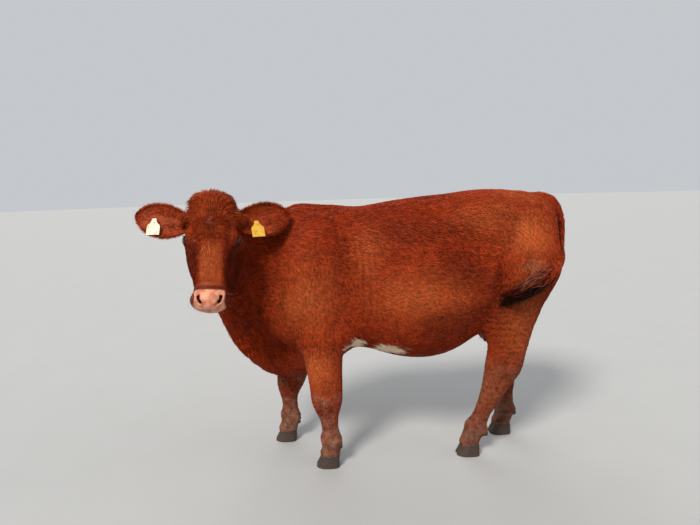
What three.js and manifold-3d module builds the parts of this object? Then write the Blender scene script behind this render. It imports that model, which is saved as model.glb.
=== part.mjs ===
// A young polled red cow standing with its head turned to its left, life size.
// Millimetres, +Z up. The head end is towards -X, the tail towards +X, and the
// cow's left side towards -Y. The flesh is one smooth field of limbs and masses
// that is parted into the named pieces by thin plane cuts.

import * as THREE from 'three';
import Module from 'manifold-3d';
import { mergeVertices } from 'three/addons/utils/BufferGeometryUtils.js';

const wasm = await Module();
wasm.setup();

// ---------------------------------------------------------------- driving sizes

const withersHeight = 1245;
const rumpHeight = 1312;
const bellyClearance = 498;
const bellyHalfWidth = 325;
const cutGap = 0.3; // each plane cut takes this much
const seatGap = 1.5; // from the flesh to what is set on it
const earLength = 256;
const earHalfHeight = 78;
const earRise = 18; // how far the ear's middle line curves up to its tip
const earThickness = 11;
const earCup = 24; // how deep the shell of the ear is hollowed
const eyeRadius = 20;
const clawLength = 118;
const clawWidth = 52;
const clawHeight = 90; // before the coronet cut
const clawSplit = 3; // from the foot's middle line to each claw
const coronetHeight = 60; // at the middle of the foot
const coronetSlope = 0.2; // the coronet falls this much for each mm towards the heel
const dewclawRadius = 14;
const tagHeight = 74;
const tagWidth = 57;
const tagThickness = 2;
const pinRadius = 3;
const buttonRadius = 13;
const tagClearance = 3; // from the rim of the ear to the tag

// the head's own frame: the poll, and how the face is turned, tipped and rolled
const poll = new THREE.Vector3(-589, -352, 1325);
const headTurn = THREE.MathUtils.degToRad(7);
const headTip = THREE.MathUtils.degToRad(22);
const headRoll = THREE.MathUtils.degToRad(3.7);

// the grids of the faceting: the size of a cell, and the shift of the grid in cells,
// which keeps grid points off the plane of symmetry and folds of the flesh out of one cell
const bodyGrid = { cell: 66, shift: 0.45 };
const headGrid = { cell: 27, shift: 0.37 };
const armGrid = { cell: 36, shift: 0.45 };
const udderGrid = { cell: 34, shift: 0.45 };
const shankSides = 12; // round each lower leg
const shortestEdge = 0.05;
const farAway = 3000;

const up = new THREE.Vector3(0, 0, 1);
const forward = new THREE.Vector3(-1, 0, 0);

// head axes: down the face, out of the face, and towards the cow's left
const facing = new THREE.Vector3(Math.sin(headTurn), -Math.cos(headTurn), 0);
const levelLeft = new THREE.Vector3(Math.cos(headTurn), Math.sin(headTurn), 0);
const headUp = up.clone().multiplyScalar(Math.cos(headRoll)).addScaledVector(levelLeft, Math.sin(headRoll));
const headLeft = levelLeft.clone().multiplyScalar(Math.cos(headRoll)).addScaledVector(up, -Math.sin(headRoll));
const downFace = facing.clone().multiplyScalar(Math.sin(headTip)).addScaledVector(headUp, -Math.cos(headTip));
const outOfFace = facing.clone().multiplyScalar(Math.cos(headTip)).addScaledVector(headUp, Math.sin(headTip));

// a place in the head's frame: down the face, out of it, and to the cow's left
function inHead(down, out, left) {
  return poll.clone()
    .addScaledVector(downFace, down)
    .addScaledVector(outOfFace, out)
    .addScaledVector(headLeft, left);
}

// ---------------------------------------------------------------- the flesh field

// one row between rows b and c of a table, on a Catmull-Rom curve through all four
function between(a, b, c, d, t) {
  return b.map((value, i) => {
    const bend = 2 * a[i] - 5 * value + 4 * c[i] - d[i];
    const twist = 3 * (value - c[i]) + d[i] - a[i];
    return value + 0.5 * t * (c[i] - a[i] + t * (bend + t * twist));
  });
}

// a table of rows with more rows worked out between the ones given
function smoothRows(rows, steps) {
  const last = rows.length - 1;
  const result = [];
  for (let i = 0; i < last; i += 1) {
    for (let step = 0; step < steps; step += 1) {
      const before = rows[Math.max(i - 1, 0)];
      const after = rows[Math.min(i + 2, last)];
      result.push(between(before, rows[i], rows[i + 1], after, step / steps));
    }
  }
  result.push(rows[last]);
  return result;
}

// A limb is a tube along a smooth line. Each station is [x, y, z, front, back, side]:
// its centre, and its half thickness towards `front`, away from it and to each side.
function limb(stations, front, { steps = 3, square = 2 } = {}) {
  const rows = smoothRows(stations, steps);
  const spans = rows.slice(1).map((row, i) => {
    const start = new THREE.Vector3(...rows[i].slice(0, 3));
    const along = new THREE.Vector3(...row.slice(0, 3)).sub(start);
    const axis = along.clone().normalize();
    const face = front.clone().addScaledVector(axis, -front.dot(axis)).normalize();
    const side = new THREE.Vector3().crossVectors(axis, face);
    return { start, along, axis, face, side, from: rows[i].slice(3), to: row.slice(3) };
  });
  const offset = new THREE.Vector3();
  return (point) => {
    let nearest = Infinity;
    let best = null;
    let share = 0;
    for (const span of spans) {
      offset.subVectors(point, span.start);
      const t = THREE.MathUtils.clamp(offset.dot(span.along) / span.along.lengthSq(), 0, 1);
      const distance = offset.addScaledVector(span.along, -t).lengthSq();
      if (distance < nearest) {
        nearest = distance;
        best = span;
        share = t;
      }
    }
    offset.subVectors(point, best.start).addScaledVector(best.along, -share);
    const [frontHalf, backHalf, sideHalf] = best.from.map((r, i) => r + (best.to[i] - r) * share);
    const ahead = offset.dot(best.face);
    const reach = (Math.abs(ahead) / (ahead > 0 ? frontHalf : backHalf)) ** square
      + (Math.abs(offset.dot(best.side)) / sideHalf) ** square
      + (Math.abs(offset.dot(best.axis)) / Math.min(frontHalf, sideHalf)) ** square;
    return offset.length() * (1 - 1 / Math.max(reach, 1e-9) ** (1 / square));
  };
}

// a rounded mass: an ellipsoid with its half sizes along three axes
function mass(centre, sizes, axes) {
  const offset = new THREE.Vector3();
  return (point) => {
    offset.subVectors(point, centre);
    const scaled = axes
      ? [offset.dot(axes[0]), offset.dot(axes[1]), offset.dot(axes[2])]
      : [offset.x, offset.y, offset.z];
    const reach = Math.hypot(scaled[0] / sizes[0], scaled[1] / sizes[1], scaled[2] / sizes[2]);
    return offset.length() * (1 - 1 / Math.max(reach, 1e-9));
  };
}

// two distances joined with a fillet of the size `blend`
function melt(a, b, blend) {
  const near = Math.max(blend - Math.abs(a - b), 0) / blend;
  return Math.min(a, b) - near * near * blend / 4;
}

// the front and the rear of each mass is given on the cow's left and its right
const bothSides = [-1, 1];

function trunkForms() {
  const level = (x) => 858 + 0.07 * (x + 350);
  const row = (x, top, bottom, half) => [x, 0, level(x), top - level(x), level(x) - bottom, half];
  const back = limb([
    // x, height of the back, height of the underside, half width
    row(-350, 1100, 560, 165),
    row(-240, withersHeight + 4, 490, 222),
    row(-90, withersHeight, 535, 248),
    row(70, withersHeight + 12, 572, 275),
    row(230, 1280, 560, 292),
    row(370, 1296, 545, 300),
    row(500, 1306, 575, 290),
    row(640, rumpHeight + 8, 655, 262),
    row(760, rumpHeight + 10, 720, 238),
    row(850, rumpHeight, 780, 205),
  ], up, { square: 2.2 });
  const belly = mass(new THREE.Vector3(320, 0, bellyClearance + 280), [330, bellyHalfWidth, 280]);
  const forms = [{ at: back, blend: 1 }, { at: belly, blend: 120 }];
  for (const side of bothSides) {
    forms.push(
      { at: mass(new THREE.Vector3(-205, side * 160, 950), [165, 92, 250]), blend: 90 },
      { at: mass(new THREE.Vector3(-235, side * 165, 745), [170, 88, 140]), blend: 80 },
      { at: mass(new THREE.Vector3(640, side * 170, 1208), [115, 62, 62]), blend: 150 },
      { at: mass(new THREE.Vector3(914, side * 90, 1150), [74, 64, 95]), blend: 110 },
    );
  }
  return forms;
}

function neckForms() {
  const neck = limb([
    [-150, 0, 960, 275, 300, 190],
    [-315, -12, 985, 262, 350, 168],
    [-440, -50, 1012, 240, 330, 148],
    [-540, -130, 1062, 205, 255, 128],
    [-590, -235, 1115, 172, 190, 112],
    [-598, -330, 1150, 130, 150, 92],
  ], up, { square: 2.1 });
  const dewlap = limb([
    [-600, -150, 900, 55, 60, 52],
    [-592, -85, 770, 52, 80, 52],
    [-556, -35, 660, 62, 100, 56],
    [-490, 0, 575, 80, 100, 72],
    [-385, 0, 535, 118, 110, 90],
    [-270, 0, 530, 125, 110, 88],
    [-120, 0, 585, 95, 100, 88],
  ], new THREE.Vector3(-0.6, 0, -0.8));
  return [{ at: neck, blend: 130 }, { at: dewlap, blend: 90 }];
}

function headForms() {
  const row = (down, front, back, half) => [...inHead(down, -front, 0).toArray(), front, back, half];
  const skull = limb([
    row(20, 58, 80, 90),
    row(75, 76, 100, 101),
    row(140, 88, 118, 100),
    row(200, 86, 128, 97),
    row(270, 80, 112, 89),
    row(345, 66, 84, 76),
    row(400, 58, 70, 69),
    row(425, 56, 58, 67),
  ], outOfFace, { square: 2.3 });
  const axes = [downFace, outOfFace, headLeft];
  const forms = [
    { at: skull, blend: 70 },
    { at: mass(inHead(0, -52, -8), [42, 54, 82], axes), blend: 50 },
    { at: mass(inHead(436, -48, -1), [41, 54, 79], axes), blend: 30 },
    { at: mass(inHead(408, -104, 0), [48, 30, 47], axes), blend: 30 },
  ];
  for (const side of bothSides) {
    forms.push(
      { at: mass(inHead(176, -52, side * 84), [46, 34, 34], axes), blend: 36 },
      { at: mass(inHead(225, -130, side * 60), [110, 74, 38], axes), blend: 50 },
      { at: mass(inHead(88, -78, side * 92), [32, 34, 34], axes), blend: 36 },
    );
  }
  return forms;
}

// The bones' joints that carry each leg, from the top down, and the foot's middle.
const legs = {
  fore_left: [[-148, -182, 640], [-137, -172, 335], [-126, -162, 132], [-134, -160, 60]],
  fore_right: [[-205, 182, 640], [-330, 170, 330], [-342, 158, 132], [-358, 156, 60]],
  hind_left: [[835, -125, 985], [768, -158, 665], [722, -148, 440], [598, -122, 140], [568, -116, 60]],
  hind_right: [[835, 125, 985], [800, 158, 665], [838, 142, 445], [822, 118, 140], [800, 112, 60]],
};
const legNames = Object.keys(legs);

// [joint number, then the half thickness in front, behind and to each side]
const foreThickness = [
  [0, 108, 105, 80],
  [0.33, 98, 92, 68],
  [0.67, 86, 82, 57],
  [1, 78, 76, 56],
  [1.22, 64, 60, 48],
  [1.42, 47, 46, 39],
  [1.7, 43, 43, 36],
  [2, 48, 52, 46],
  [2.5, 46, 50, 48],
  [3.4, 54, 56, 54],
];
const hindThickness = [
  [0, 150, 138, 112],
  [0.5, 172, 140, 120],
  [1, 124, 106, 86],
  [1.5, 100, 96, 64],
  [2, 90, 92, 52],
  [2.35, 62, 62, 44],
  [2.7, 42, 44, 37],
  [3, 50, 54, 46],
  [3.5, 48, 50, 48],
  [4.3, 54, 56, 54],
];

// a leg's stations: the thickness table carried along the line of its joints
function legStations(joints, thickness) {
  const last = joints.length - 1;
  return thickness.map(([place, ...halves]) => {
    const i = Math.min(Math.floor(place), last - 1);
    const before = joints[Math.max(i - 1, 0)];
    const after = joints[Math.min(i + 2, last)];
    return [...between(before, joints[i], joints[i + 1], after, place - i), ...halves];
  });
}

function legForms() {
  return legNames.map((name) => {
    const isFore = name.startsWith('fore');
    const stations = legStations(legs[name], isFore ? foreThickness : hindThickness);
    return { at: limb(stations, forward, { steps: 2 }), blend: isFore ? 60 : 110 };
  });
}

const forms = [...trunkForms(), ...neckForms(), ...headForms(), ...legForms()];

// the distance of a point to the whole body's outside, less than zero inside it
function flesh(point) {
  return forms.reduce((distance, form) => melt(distance, form.at(point), form.blend), 1e6);
}

// ---------------------------------------------------------------- faceting a field

// the same field closed off by the walls of a box
function walled(field, box) {
  return (point) => {
    const outside = Math.max(
      box.min.x - point.x, point.x - box.max.x,
      box.min.y - point.y, point.y - box.max.y,
      box.min.z - point.z, point.z - box.max.z,
    );
    return Math.max(field(point), outside);
  };
}

// moves a point along the field's slope until it lies on the surface
function settle(point, field, cell) {
  const probe = new THREE.Vector3();
  const slope = new THREE.Vector3();
  for (let round = 0; round < 4; round += 1) {
    const here = field(point);
    for (const axis of ['x', 'y', 'z']) {
      probe.copy(point);
      probe[axis] += 1;
      slope[axis] = field(probe) - here;
    }
    const step = THREE.MathUtils.clamp(here / slope.length(), -cell / 3, cell / 3);
    point.addScaledVector(slope.normalize(), -step);
  }
}

// A grid cell's twelve edges, each as the corner it starts at and its axis. A corner's
// number holds a bit for each axis, and an edge runs from a clear bit to a set one.
const cellEdges = [0, 1, 2].flatMap((axis) => [0, 1, 2, 3, 4, 5, 6, 7]
  .filter((corner) => !(corner >> axis & 1))
  .map((corner) => ({ corner, axis })));

function edgeNumber(corner, axis) {
  const start = corner & ~(1 << axis);
  return cellEdges.findIndex((edge) => edge.corner === start && edge.axis === axis);
}

// The sheets of surface in a cell whose inside corners are the set bits of `inside`: the
// number of the sheet that crosses each edge. Where a face has two inside corners across
// from each other, the sheet goes round each of them, in both of the cells at that face.
function sheetsOf(inside) {
  const isIn = (corner) => (inside >> corner & 1) === 1;
  const sheet = cellEdges.map(({ corner, axis }, i) => (isIn(corner) === isIn(corner | 1 << axis) ? -1 : i));
  const join = (a, b) => {
    const [kept, lost] = [sheet[a], sheet[b]];
    sheet.forEach((value, i) => {
      if (value === lost) sheet[i] = kept;
    });
  };
  for (let axis = 0; axis < 3; axis += 1) {
    const one = (axis + 1) % 3;
    const two = (axis + 2) % 3;
    for (const base of [0, 1 << axis]) {
      const corners = [base, base | 1 << one, base | 1 << one | 1 << two, base | 1 << two];
      const crossed = corners.flatMap((corner, i) => {
        const edge = edgeNumber(corner & corners[(i + 1) % 4], i % 2 === 0 ? one : two);
        return sheet[edge] < 0 ? [] : [edge];
      });
      if (crossed.length === 2) {
        join(crossed[0], crossed[1]);
      } else if (crossed.length === 4) {
        const first = isIn(corners[0]) ? 3 : 0;
        join(crossed[first], crossed[(first + 1) % 4]);
        join(crossed[(first + 2) % 4], crossed[(first + 3) % 4]);
      }
    }
  }
  return sheet;
}

const sheetTable = Array.from({ length: 256 }, (_, inside) => sheetsOf(inside));

// Dual faceting: one vertex for each sheet of surface in a grid cell, and four of them
// joined round each grid edge that the surface crosses. A grid is the same for every
// box, so two pieces on one grid meet in the same polygon.
function facet(field, box, { cell, shift }) {
  const gridStart = box.min.toArray().map((low) => Math.floor(low / cell - shift) - 1);
  const gridEnd = box.max.toArray().map((high) => Math.ceil(high / cell - shift) + 1);
  const count = gridEnd.map((end, axis) => end - gridStart[axis] + 1);
  const start = new THREE.Vector3(...gridStart.map((index) => (index + shift) * cell));
  const closed = walled(field, box);
  const value = new Float64Array(count[0] * count[1] * count[2]);
  const stride = [1, count[0], count[0] * count[1]];
  const reach = (corner) => (corner & 1) + (corner >> 1 & 1) * stride[1] + (corner >> 2 & 1) * stride[2];
  const point = new THREE.Vector3();
  for (let k = 0; k < count[2]; k += 1) {
    for (let j = 0; j < count[1]; j += 1) {
      for (let i = 0; i < count[0]; i += 1) {
        point.set(i, j, k).multiplyScalar(cell).add(start);
        value[i + stride[1] * j + stride[2] * k] = closed(point);
      }
    }
  }
  const vertexOf = new Map();
  const positions = [];
  // the vertex of the sheet that crosses one edge of one cell
  const sheetVertex = (node, corner, axis) => {
    const key = node[0] + stride[1] * node[1] + stride[2] * node[2];
    const inside = [0, 1, 2, 3, 4, 5, 6, 7].reduce((bits, c) => bits | (value[key + reach(c)] < 0) << c, 0);
    const sheets = sheetTable[inside];
    const sheet = sheets[edgeNumber(corner, axis)];
    const name = key * 12 + sheet;
    if (!vertexOf.has(name)) {
      const sum = new THREE.Vector3();
      let crossings = 0;
      cellEdges.forEach((edge, i) => {
        if (sheets[i] !== sheet) return;
        const low = value[key + reach(edge.corner)];
        const high = value[key + reach(edge.corner | 1 << edge.axis)];
        const offset = [edge.corner & 1, edge.corner >> 1 & 1, edge.corner >> 2 & 1];
        offset[edge.axis] = low / (low - high);
        sum.add(point.set(...offset));
        crossings += 1;
      });
      sum.divideScalar(crossings).add(point.set(...node)).multiplyScalar(cell).add(start);
      settle(sum, closed, cell);
      vertexOf.set(name, positions.length / 3);
      positions.push(sum.x, sum.y, sum.z);
    }
    return vertexOf.get(name);
  };
  const triangles = [];
  // the four cells round the edge that runs along an axis from a grid point
  const addFacets = (node, axis, inside) => {
    const one = (axis + 1) % 3;
    const two = (axis + 2) % 3;
    const ring = [[0, 0], [1, 0], [1, 1], [0, 1]].map(([back, down]) => {
      const lower = node.slice();
      lower[one] -= back;
      lower[two] -= down;
      return sheetVertex(lower, back << one | down << two, axis);
    });
    if (!inside) ring.reverse();
    triangles.push(ring[0], ring[1], ring[2], ring[0], ring[2], ring[3]);
  };
  for (let k = 1; k < count[2] - 1; k += 1) {
    for (let j = 1; j < count[1] - 1; j += 1) {
      for (let i = 1; i < count[0] - 1; i += 1) {
        const key = i + stride[1] * j + stride[2] * k;
        const inside = value[key] < 0;
        for (let axis = 0; axis < 3; axis += 1) {
          if (inside !== value[key + stride[axis]] < 0) addFacets([i, j, k], axis, inside);
        }
      }
    }
  }
  return indexed(positions, triangles);
}

function indexed(positions, triangles) {
  const geometry = new THREE.BufferGeometry();
  geometry.setAttribute('position', new THREE.Float32BufferAttribute(positions, 3));
  geometry.setIndex(triangles);
  return geometry;
}

// a closed skin through rings of points, with a fan over the first and the last
function loft(rings) {
  const sides = rings[0].length;
  const corners = rings.flat();
  const triangles = [];
  rings.slice(1).forEach((ring, r) => {
    for (let i = 0; i < sides; i += 1) {
      const a = r * sides + i;
      const b = r * sides + (i + 1) % sides;
      triangles.push(a, b, b + sides, a, b + sides, a + sides);
    }
  });
  for (const [first, flip] of [[0, true], [(rings.length - 1) * sides, false]]) {
    const middle = new THREE.Vector3();
    corners.slice(first, first + sides).forEach((corner) => middle.addScaledVector(corner, 1 / sides));
    const hub = corners.push(middle) - 1;
    for (let i = 0; i < sides; i += 1) {
      const edge = [first + i, first + (i + 1) % sides];
      if (flip) edge.reverse();
      triangles.push(...edge, hub);
    }
  }
  return indexed(corners.flatMap((corner) => corner.toArray()), triangles);
}

// the rings round a limb's stations, `grown` thicker all round
function limbRings(stations, front, { steps = 2, sides = 12, grown = 0 } = {}) {
  const rows = smoothRows(stations, steps);
  const centres = rows.map((row) => new THREE.Vector3(...row.slice(0, 3)));
  return rows.map(([, , , frontHalf, backHalf, sideHalf], i) => {
    const ahead = centres[Math.min(i + 1, rows.length - 1)];
    const axis = ahead.clone().sub(centres[Math.max(i - 1, 0)]).normalize();
    const face = front.clone().addScaledVector(axis, -front.dot(axis)).normalize();
    const side = new THREE.Vector3().crossVectors(axis, face);
    return Array.from({ length: sides }, (_, n) => {
      const angle = 2 * Math.PI * (n + 0.5) / sides;
      const reach = (Math.cos(angle) > 0 ? frontHalf : backHalf) + grown;
      return centres[i].clone()
        .addScaledVector(face, Math.cos(angle) * reach)
        .addScaledVector(side, Math.sin(angle) * (sideHalf + grown));
    });
  });
}

// ---------------------------------------------------------------- solids and cuts

function solidOf(geometry) {
  const bare = geometry.clone();
  bare.deleteAttribute('normal');
  bare.deleteAttribute('uv');
  const merged = mergeVertices(bare, 1e-3);
  const corners = merged.index.array;
  const triangles = [];
  for (let t = 0; t < corners.length; t += 3) {
    const [a, b, c] = corners.slice(t, t + 3);
    if (a !== b && b !== c && c !== a) triangles.push(a, b, c);
  }
  return new wasm.Manifold(new wasm.Mesh({
    numProp: 3,
    vertProperties: Float32Array.from(merged.attributes.position.array),
    triVerts: Uint32Array.from(triangles),
  }));
}

// a loft's solid, whichever way round its rings run
function loftSolid(rings) {
  const solid = solidOf(loft(rings));
  return solid.volume() > 0 ? solid : solidOf(loft(rings.slice().reverse()));
}

// A solid's surface, with the edges that a cut left too short to see drawn together.
function geometryOf(solid) {
  const mesh = solid.getMesh();
  const corners = mesh.vertProperties;
  const triangles = Array.from(mesh.triVerts);
  const home = Array.from({ length: corners.length / 3 }, (_, i) => i);
  const find = (i) => {
    let root = i;
    while (home[root] !== root) root = home[root];
    return root;
  };
  const at = (i) => new THREE.Vector3().fromArray(corners, 3 * i);
  for (let t = 0; t < triangles.length; t += 3) {
    for (let side = 0; side < 3; side += 1) {
      const a = triangles[t + side];
      const b = triangles[t + (side + 1) % 3];
      if (at(a).distanceTo(at(b)) < shortestEdge) home[Math.max(find(a), find(b))] = Math.min(find(a), find(b));
    }
  }
  const kept = [];
  for (let t = 0; t < triangles.length; t += 3) {
    const [a, b, c] = triangles.slice(t, t + 3).map(find);
    if (a !== b && b !== c && c !== a) kept.push(a, b, c);
  }
  const geometry = indexed(Array.from(corners), kept);
  geometry.computeVertexNormals();
  return geometry;
}

// the biggest of the loose pieces that a cut leaves
function mainPiece(solid) {
  return solid.decompose().reduce((best, piece) => (piece.volume() > best.volume() ? piece : best));
}

function without(solid, parts) {
  return parts.reduce((rest, part) => rest.subtract(part), solid);
}

// the half space on one side of a plane, as a big block: `normal` points into it
function halfSpace({ through, normal }, gap = cutGap) {
  const block = new THREE.BoxGeometry(farAway, farAway, farAway);
  block.translate(0, 0, farAway / 2 + gap / 2);
  block.applyQuaternion(new THREE.Quaternion().setFromUnitVectors(up, normal.clone().normalize()));
  block.translate(through.x, through.y, through.z);
  return solidOf(block);
}

function boxOf(low, high) {
  return new THREE.Box3(new THREE.Vector3(...low), new THREE.Vector3(...high));
}

// a block between two corners, each face moved in by half of the gap, or out where it is negative
function blockSolid(low, high, gap) {
  const box = boxOf(low, high).expandByScalar(-gap / 2);
  const size = box.getSize(new THREE.Vector3());
  const centre = box.getCenter(new THREE.Vector3());
  return solidOf(new THREE.BoxGeometry(size.x, size.y, size.z).translate(centre.x, centre.y, centre.z));
}

// ---------------------------------------------------------------- where the flesh is parted

const neckCut = { through: new THREE.Vector3(-400, 0, 900), normal: new THREE.Vector3(-0.8, -0.38, 0.46) };
const headCut = { through: new THREE.Vector3(-602, -250, 1100), normal: new THREE.Vector3(0.12, -0.985, 0.09) };
const dockCut = { through: new THREE.Vector3(1060, -10, 1070), normal: up };
const switchCut = { through: new THREE.Vector3(985, -145, 955), normal: new THREE.Vector3(0.8, 0.6, 0) };

// The block that holds each leg below the trunk, and the level that parts it in two.
const legBlocks = {
  fore_left: { low: [-264, -400, -50], high: [30, -90, 600], parted: 395 },
  fore_right: { low: [-480, 90, -50], high: [30, 400, 600], parted: 390 },
  hind_left: { low: [606, -400, -50], high: [1150, 0, 800], parted: 530 },
  hind_right: { low: [606, 0, -50], high: [1150, 400, 800], parted: 530 },
};

function opposite({ through, normal }) {
  return { through, normal: normal.clone().negate() };
}

// the body's surface moved out by the gap, to seat a neighbour against
function seat(low, high, grid) {
  return solidOf(facet((point) => flesh(point) - seatGap, boxOf(low, high), grid));
}

function trunkSolid() {
  let solid = solidOf(facet(flesh, boxOf([-700, -420, 330], [1150, 420, 1420]), bodyGrid));
  solid = solid.subtract(halfSpace(neckCut, -cutGap));
  for (const name of legNames) {
    solid = solid.subtract(blockSolid(legBlocks[name].low, legBlocks[name].high, -cutGap));
  }
  return mainPiece(solid);
}

function neckSolid() {
  const whole = solidOf(facet(flesh, boxOf([-800, -420, 440], [-60, 300, 1420]), bodyGrid));
  return mainPiece(whole.intersect(halfSpace(neckCut)).subtract(halfSpace(headCut, -cutGap)));
}

// ---------------------------------------------------------------- head, eyes and ears

const headBox = [[-800, -700, 780], [-400, -180, 1440]];
const eyePlaces = bothSides.map((side) => inHead(180, -43, side * 99));

function eyeGeometry(radius) {
  return new THREE.SphereGeometry(radius, 10, 7);
}

function headSolid() {
  let solid = solidOf(facet(flesh, boxOf(...headBox), headGrid)).intersect(halfSpace(headCut));
  for (const place of eyePlaces) {
    const socket = eyeGeometry(eyeRadius + cutGap).translate(...place.toArray());
    solid = solid.subtract(solidOf(socket));
  }
  return mainPiece(solid);
}

// An ear's own frame: its root, out along it, up across it, and out of its hollow.
function earFrame(side) {
  const along = headLeft.clone().multiplyScalar(side * 0.965)
    .addScaledVector(outOfFace, -0.25)
    .addScaledVector(downFace, side < 0 ? -0.15 : -0.16)
    .normalize();
  const hollow = outOfFace.clone().addScaledVector(along, -outOfFace.dot(along)).normalize();
  const across = downFace.clone().negate();
  across.addScaledVector(along, -across.dot(along)).addScaledVector(hollow, -across.dot(hollow)).normalize();
  return { root: inHead(side < 0 ? 102 : 84, -66, side * 92), along, across, hollow };
}

// half the ear's height at a share of its length
function earHalf(share) {
  return 30 * (1 - share) + (earHalfHeight - 15) * Math.sin(Math.PI * share ** 1.35) ** 0.6;
}

// a place on an ear: a share of its length, a turn across it from -1 to 1, and how far behind its inner skin
function onEar({ root, along, across, hollow }, share, turn, behind) {
  const angle = turn * Math.PI / 2;
  const depth = earCup * (1 - share ** 2) + behind;
  return root.clone()
    .addScaledVector(along, share * earLength)
    .addScaledVector(across, Math.sin(angle) * earHalf(share) + earRise * share ** 2)
    .addScaledVector(hollow, -Math.cos(angle) * depth);
}

function earRings(frame) {
  const shares = [0, 0.15, 0.33, 0.5, 0.66, 0.8, 0.91, 0.98];
  const turns = [-1, -0.6, -0.25, 0.25, 0.6, 1];
  return shares.map((share) => [
    ...turns.map((turn) => onEar(frame, share, turn, 0)),
    ...turns.slice(1, -1).reverse().map((turn) => onEar(frame, share, turn, earThickness)),
  ]);
}

// where each ear's tag hangs: its share of the ear's length and its turn across it
const tagPlaces = {
  left: { side: 1, share: 0.37, turn: -0.17, colour: 0xe8d21c },
  right: { side: -1, share: 0.64, turn: -0.09, colour: 0xe9e2c2 },
};

// the tag's frame: on its ear, upright, in front of the ear's rim
function tagFrame({ side, share, turn }) {
  const ear = earFrame(side);
  const pinned = onEar(ear, share, turn, 0);
  const depth = pinned.clone().sub(ear.root).dot(ear.hollow);
  const place = pinned.addScaledVector(ear.hollow, tagClearance - depth);
  const upright = up.clone().addScaledVector(ear.hollow, -up.dot(ear.hollow)).normalize();
  const basis = new THREE.Matrix4().makeBasis(upright.clone().cross(ear.hollow), upright, ear.hollow);
  return { place, basis, depth: tagClearance - depth };
}

function tagGeometry() {
  const half = tagWidth / 2;
  const neckHalf = 9;
  const top = 14;
  const bottom = top - tagHeight;
  const outline = new THREE.Shape();
  outline.moveTo(-neckHalf, top);
  outline.lineTo(neckHalf, top);
  outline.quadraticCurveTo(neckHalf + 2, -6, half - 4, -14);
  outline.quadraticCurveTo(half, -18, half, -26);
  outline.lineTo(half, bottom);
  outline.lineTo(-half, bottom);
  outline.lineTo(-half, -26);
  outline.quadraticCurveTo(-half, -18, 4 - half, -14);
  outline.quadraticCurveTo(-neckHalf - 2, -6, -neckHalf, top);
  const plate = new THREE.ExtrudeGeometry(outline, { depth: tagThickness, bevelEnabled: false, curveSegments: 4 });
  return geometryOf(solidOf(plate).subtract(solidOf(pinHole())));
}

function pinHole() {
  return new THREE.CylinderGeometry(pinRadius + cutGap, pinRadius + cutGap, 160, 8).rotateX(Math.PI / 2);
}

// the button in front, its pin through the tag and the ear, and the disc behind
function buttonGeometry(depth) {
  const front = tagThickness + cutGap;
  const back = -(depth + earThickness + 3);
  const profile = [
    [0, back - 2.5], [buttonRadius, back - 2.5], [buttonRadius, back], [pinRadius, back],
    [pinRadius, front], [7, front], [7, front + 2.5], [0, front + 2.5],
  ];
  const turned = new THREE.LatheGeometry(profile.map(([x, y]) => new THREE.Vector2(x, y)), 8);
  return turned.rotateX(Math.PI / 2);
}

function earSolid(side, headSeat) {
  const tag = side > 0 ? tagPlaces.left : tagPlaces.right;
  const { place, basis } = tagFrame(tag);
  const hole = pinHole().applyMatrix4(basis).translate(...place.toArray());
  const solid = loftSolid(earRings(earFrame(side)));
  return mainPiece(solid.subtract(headSeat).subtract(solidOf(hole)));
}

// ---------------------------------------------------------------- legs and feet

// the sloping plane over the claws of one foot
function coronetPlane(name) {
  const [x, y] = legs[name][legs[name].length - 1];
  return {
    through: new THREE.Vector3(x, y, coronetHeight),
    normal: new THREE.Vector3(coronetSlope, 0, 1),
  };
}

function upperLegSolid(name) {
  const { low, high, parted } = legBlocks[name];
  const margin = 2 * bodyGrid.cell;
  const box = boxOf(
    [low[0] - margin, low[1] - margin, parted - margin],
    [high[0] + margin, high[1] + margin, high[2] + margin],
  );
  const solid = solidOf(facet(flesh, box, name.startsWith('fore') ? armGrid : bodyGrid));
  const level = { through: new THREE.Vector3(0, 0, parted), normal: up };
  return mainPiece(solid.intersect(blockSolid(low, high, cutGap)).intersect(halfSpace(level)));
}

function shankRings(name, grown) {
  const isFore = name.startsWith('fore');
  const stations = legStations(legs[name], isFore ? foreThickness : hindThickness);
  return limbRings(stations.slice(isFore ? 2 : 3), forward, { steps: 1, sides: shankSides, grown });
}

function lowerLegSolid(name) {
  const level = { through: new THREE.Vector3(0, 0, legBlocks[name].parted), normal: up };
  return loftSolid(shankRings(name, 0))
    .intersect(halfSpace(opposite(level)))
    .intersect(halfSpace(coronetPlane(name)));
}

// One claw: its outline on the ground, drawn in and back as it rises, cut under the coronet.
function clawSolid(name, side) {
  const [footX, footY] = legs[name][legs[name].length - 1];
  const toe = -0.6 * clawLength;
  const heel = 0.4 * clawLength;
  const outer = clawSplit + clawWidth;
  const outline = new THREE.Shape();
  outline.moveTo(toe, side * (clawSplit + 3));
  outline.quadraticCurveTo(toe + 2, side * outer * 0.7, toe * 0.45, side * outer * 0.96);
  outline.quadraticCurveTo(heel * 0.2, side * (outer + 3), heel * 0.75, side * outer * 0.92);
  outline.quadraticCurveTo(heel * 1.05, side * outer * 0.6, heel * 0.9, side * clawSplit);
  outline.lineTo(0, side * clawSplit);
  const claw = new THREE.ExtrudeGeometry(
    outline,
    { depth: clawHeight, steps: 2, bevelEnabled: false, curveSegments: 3 },
  );
  const corner = new THREE.Vector3();
  const places = claw.attributes.position;
  for (let i = 0; i < places.count; i += 1) {
    corner.fromBufferAttribute(places, i);
    const risen = corner.z / clawHeight;
    corner.x = heel + (corner.x - heel) * (1 - 0.42 * risen);
    corner.y *= 1 - 0.1 * risen;
    places.setXYZ(i, footX + corner.x, footY + corner.y, corner.z);
  }
  return solidOf(claw).intersect(halfSpace(opposite(coronetPlane(name))));
}

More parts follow.
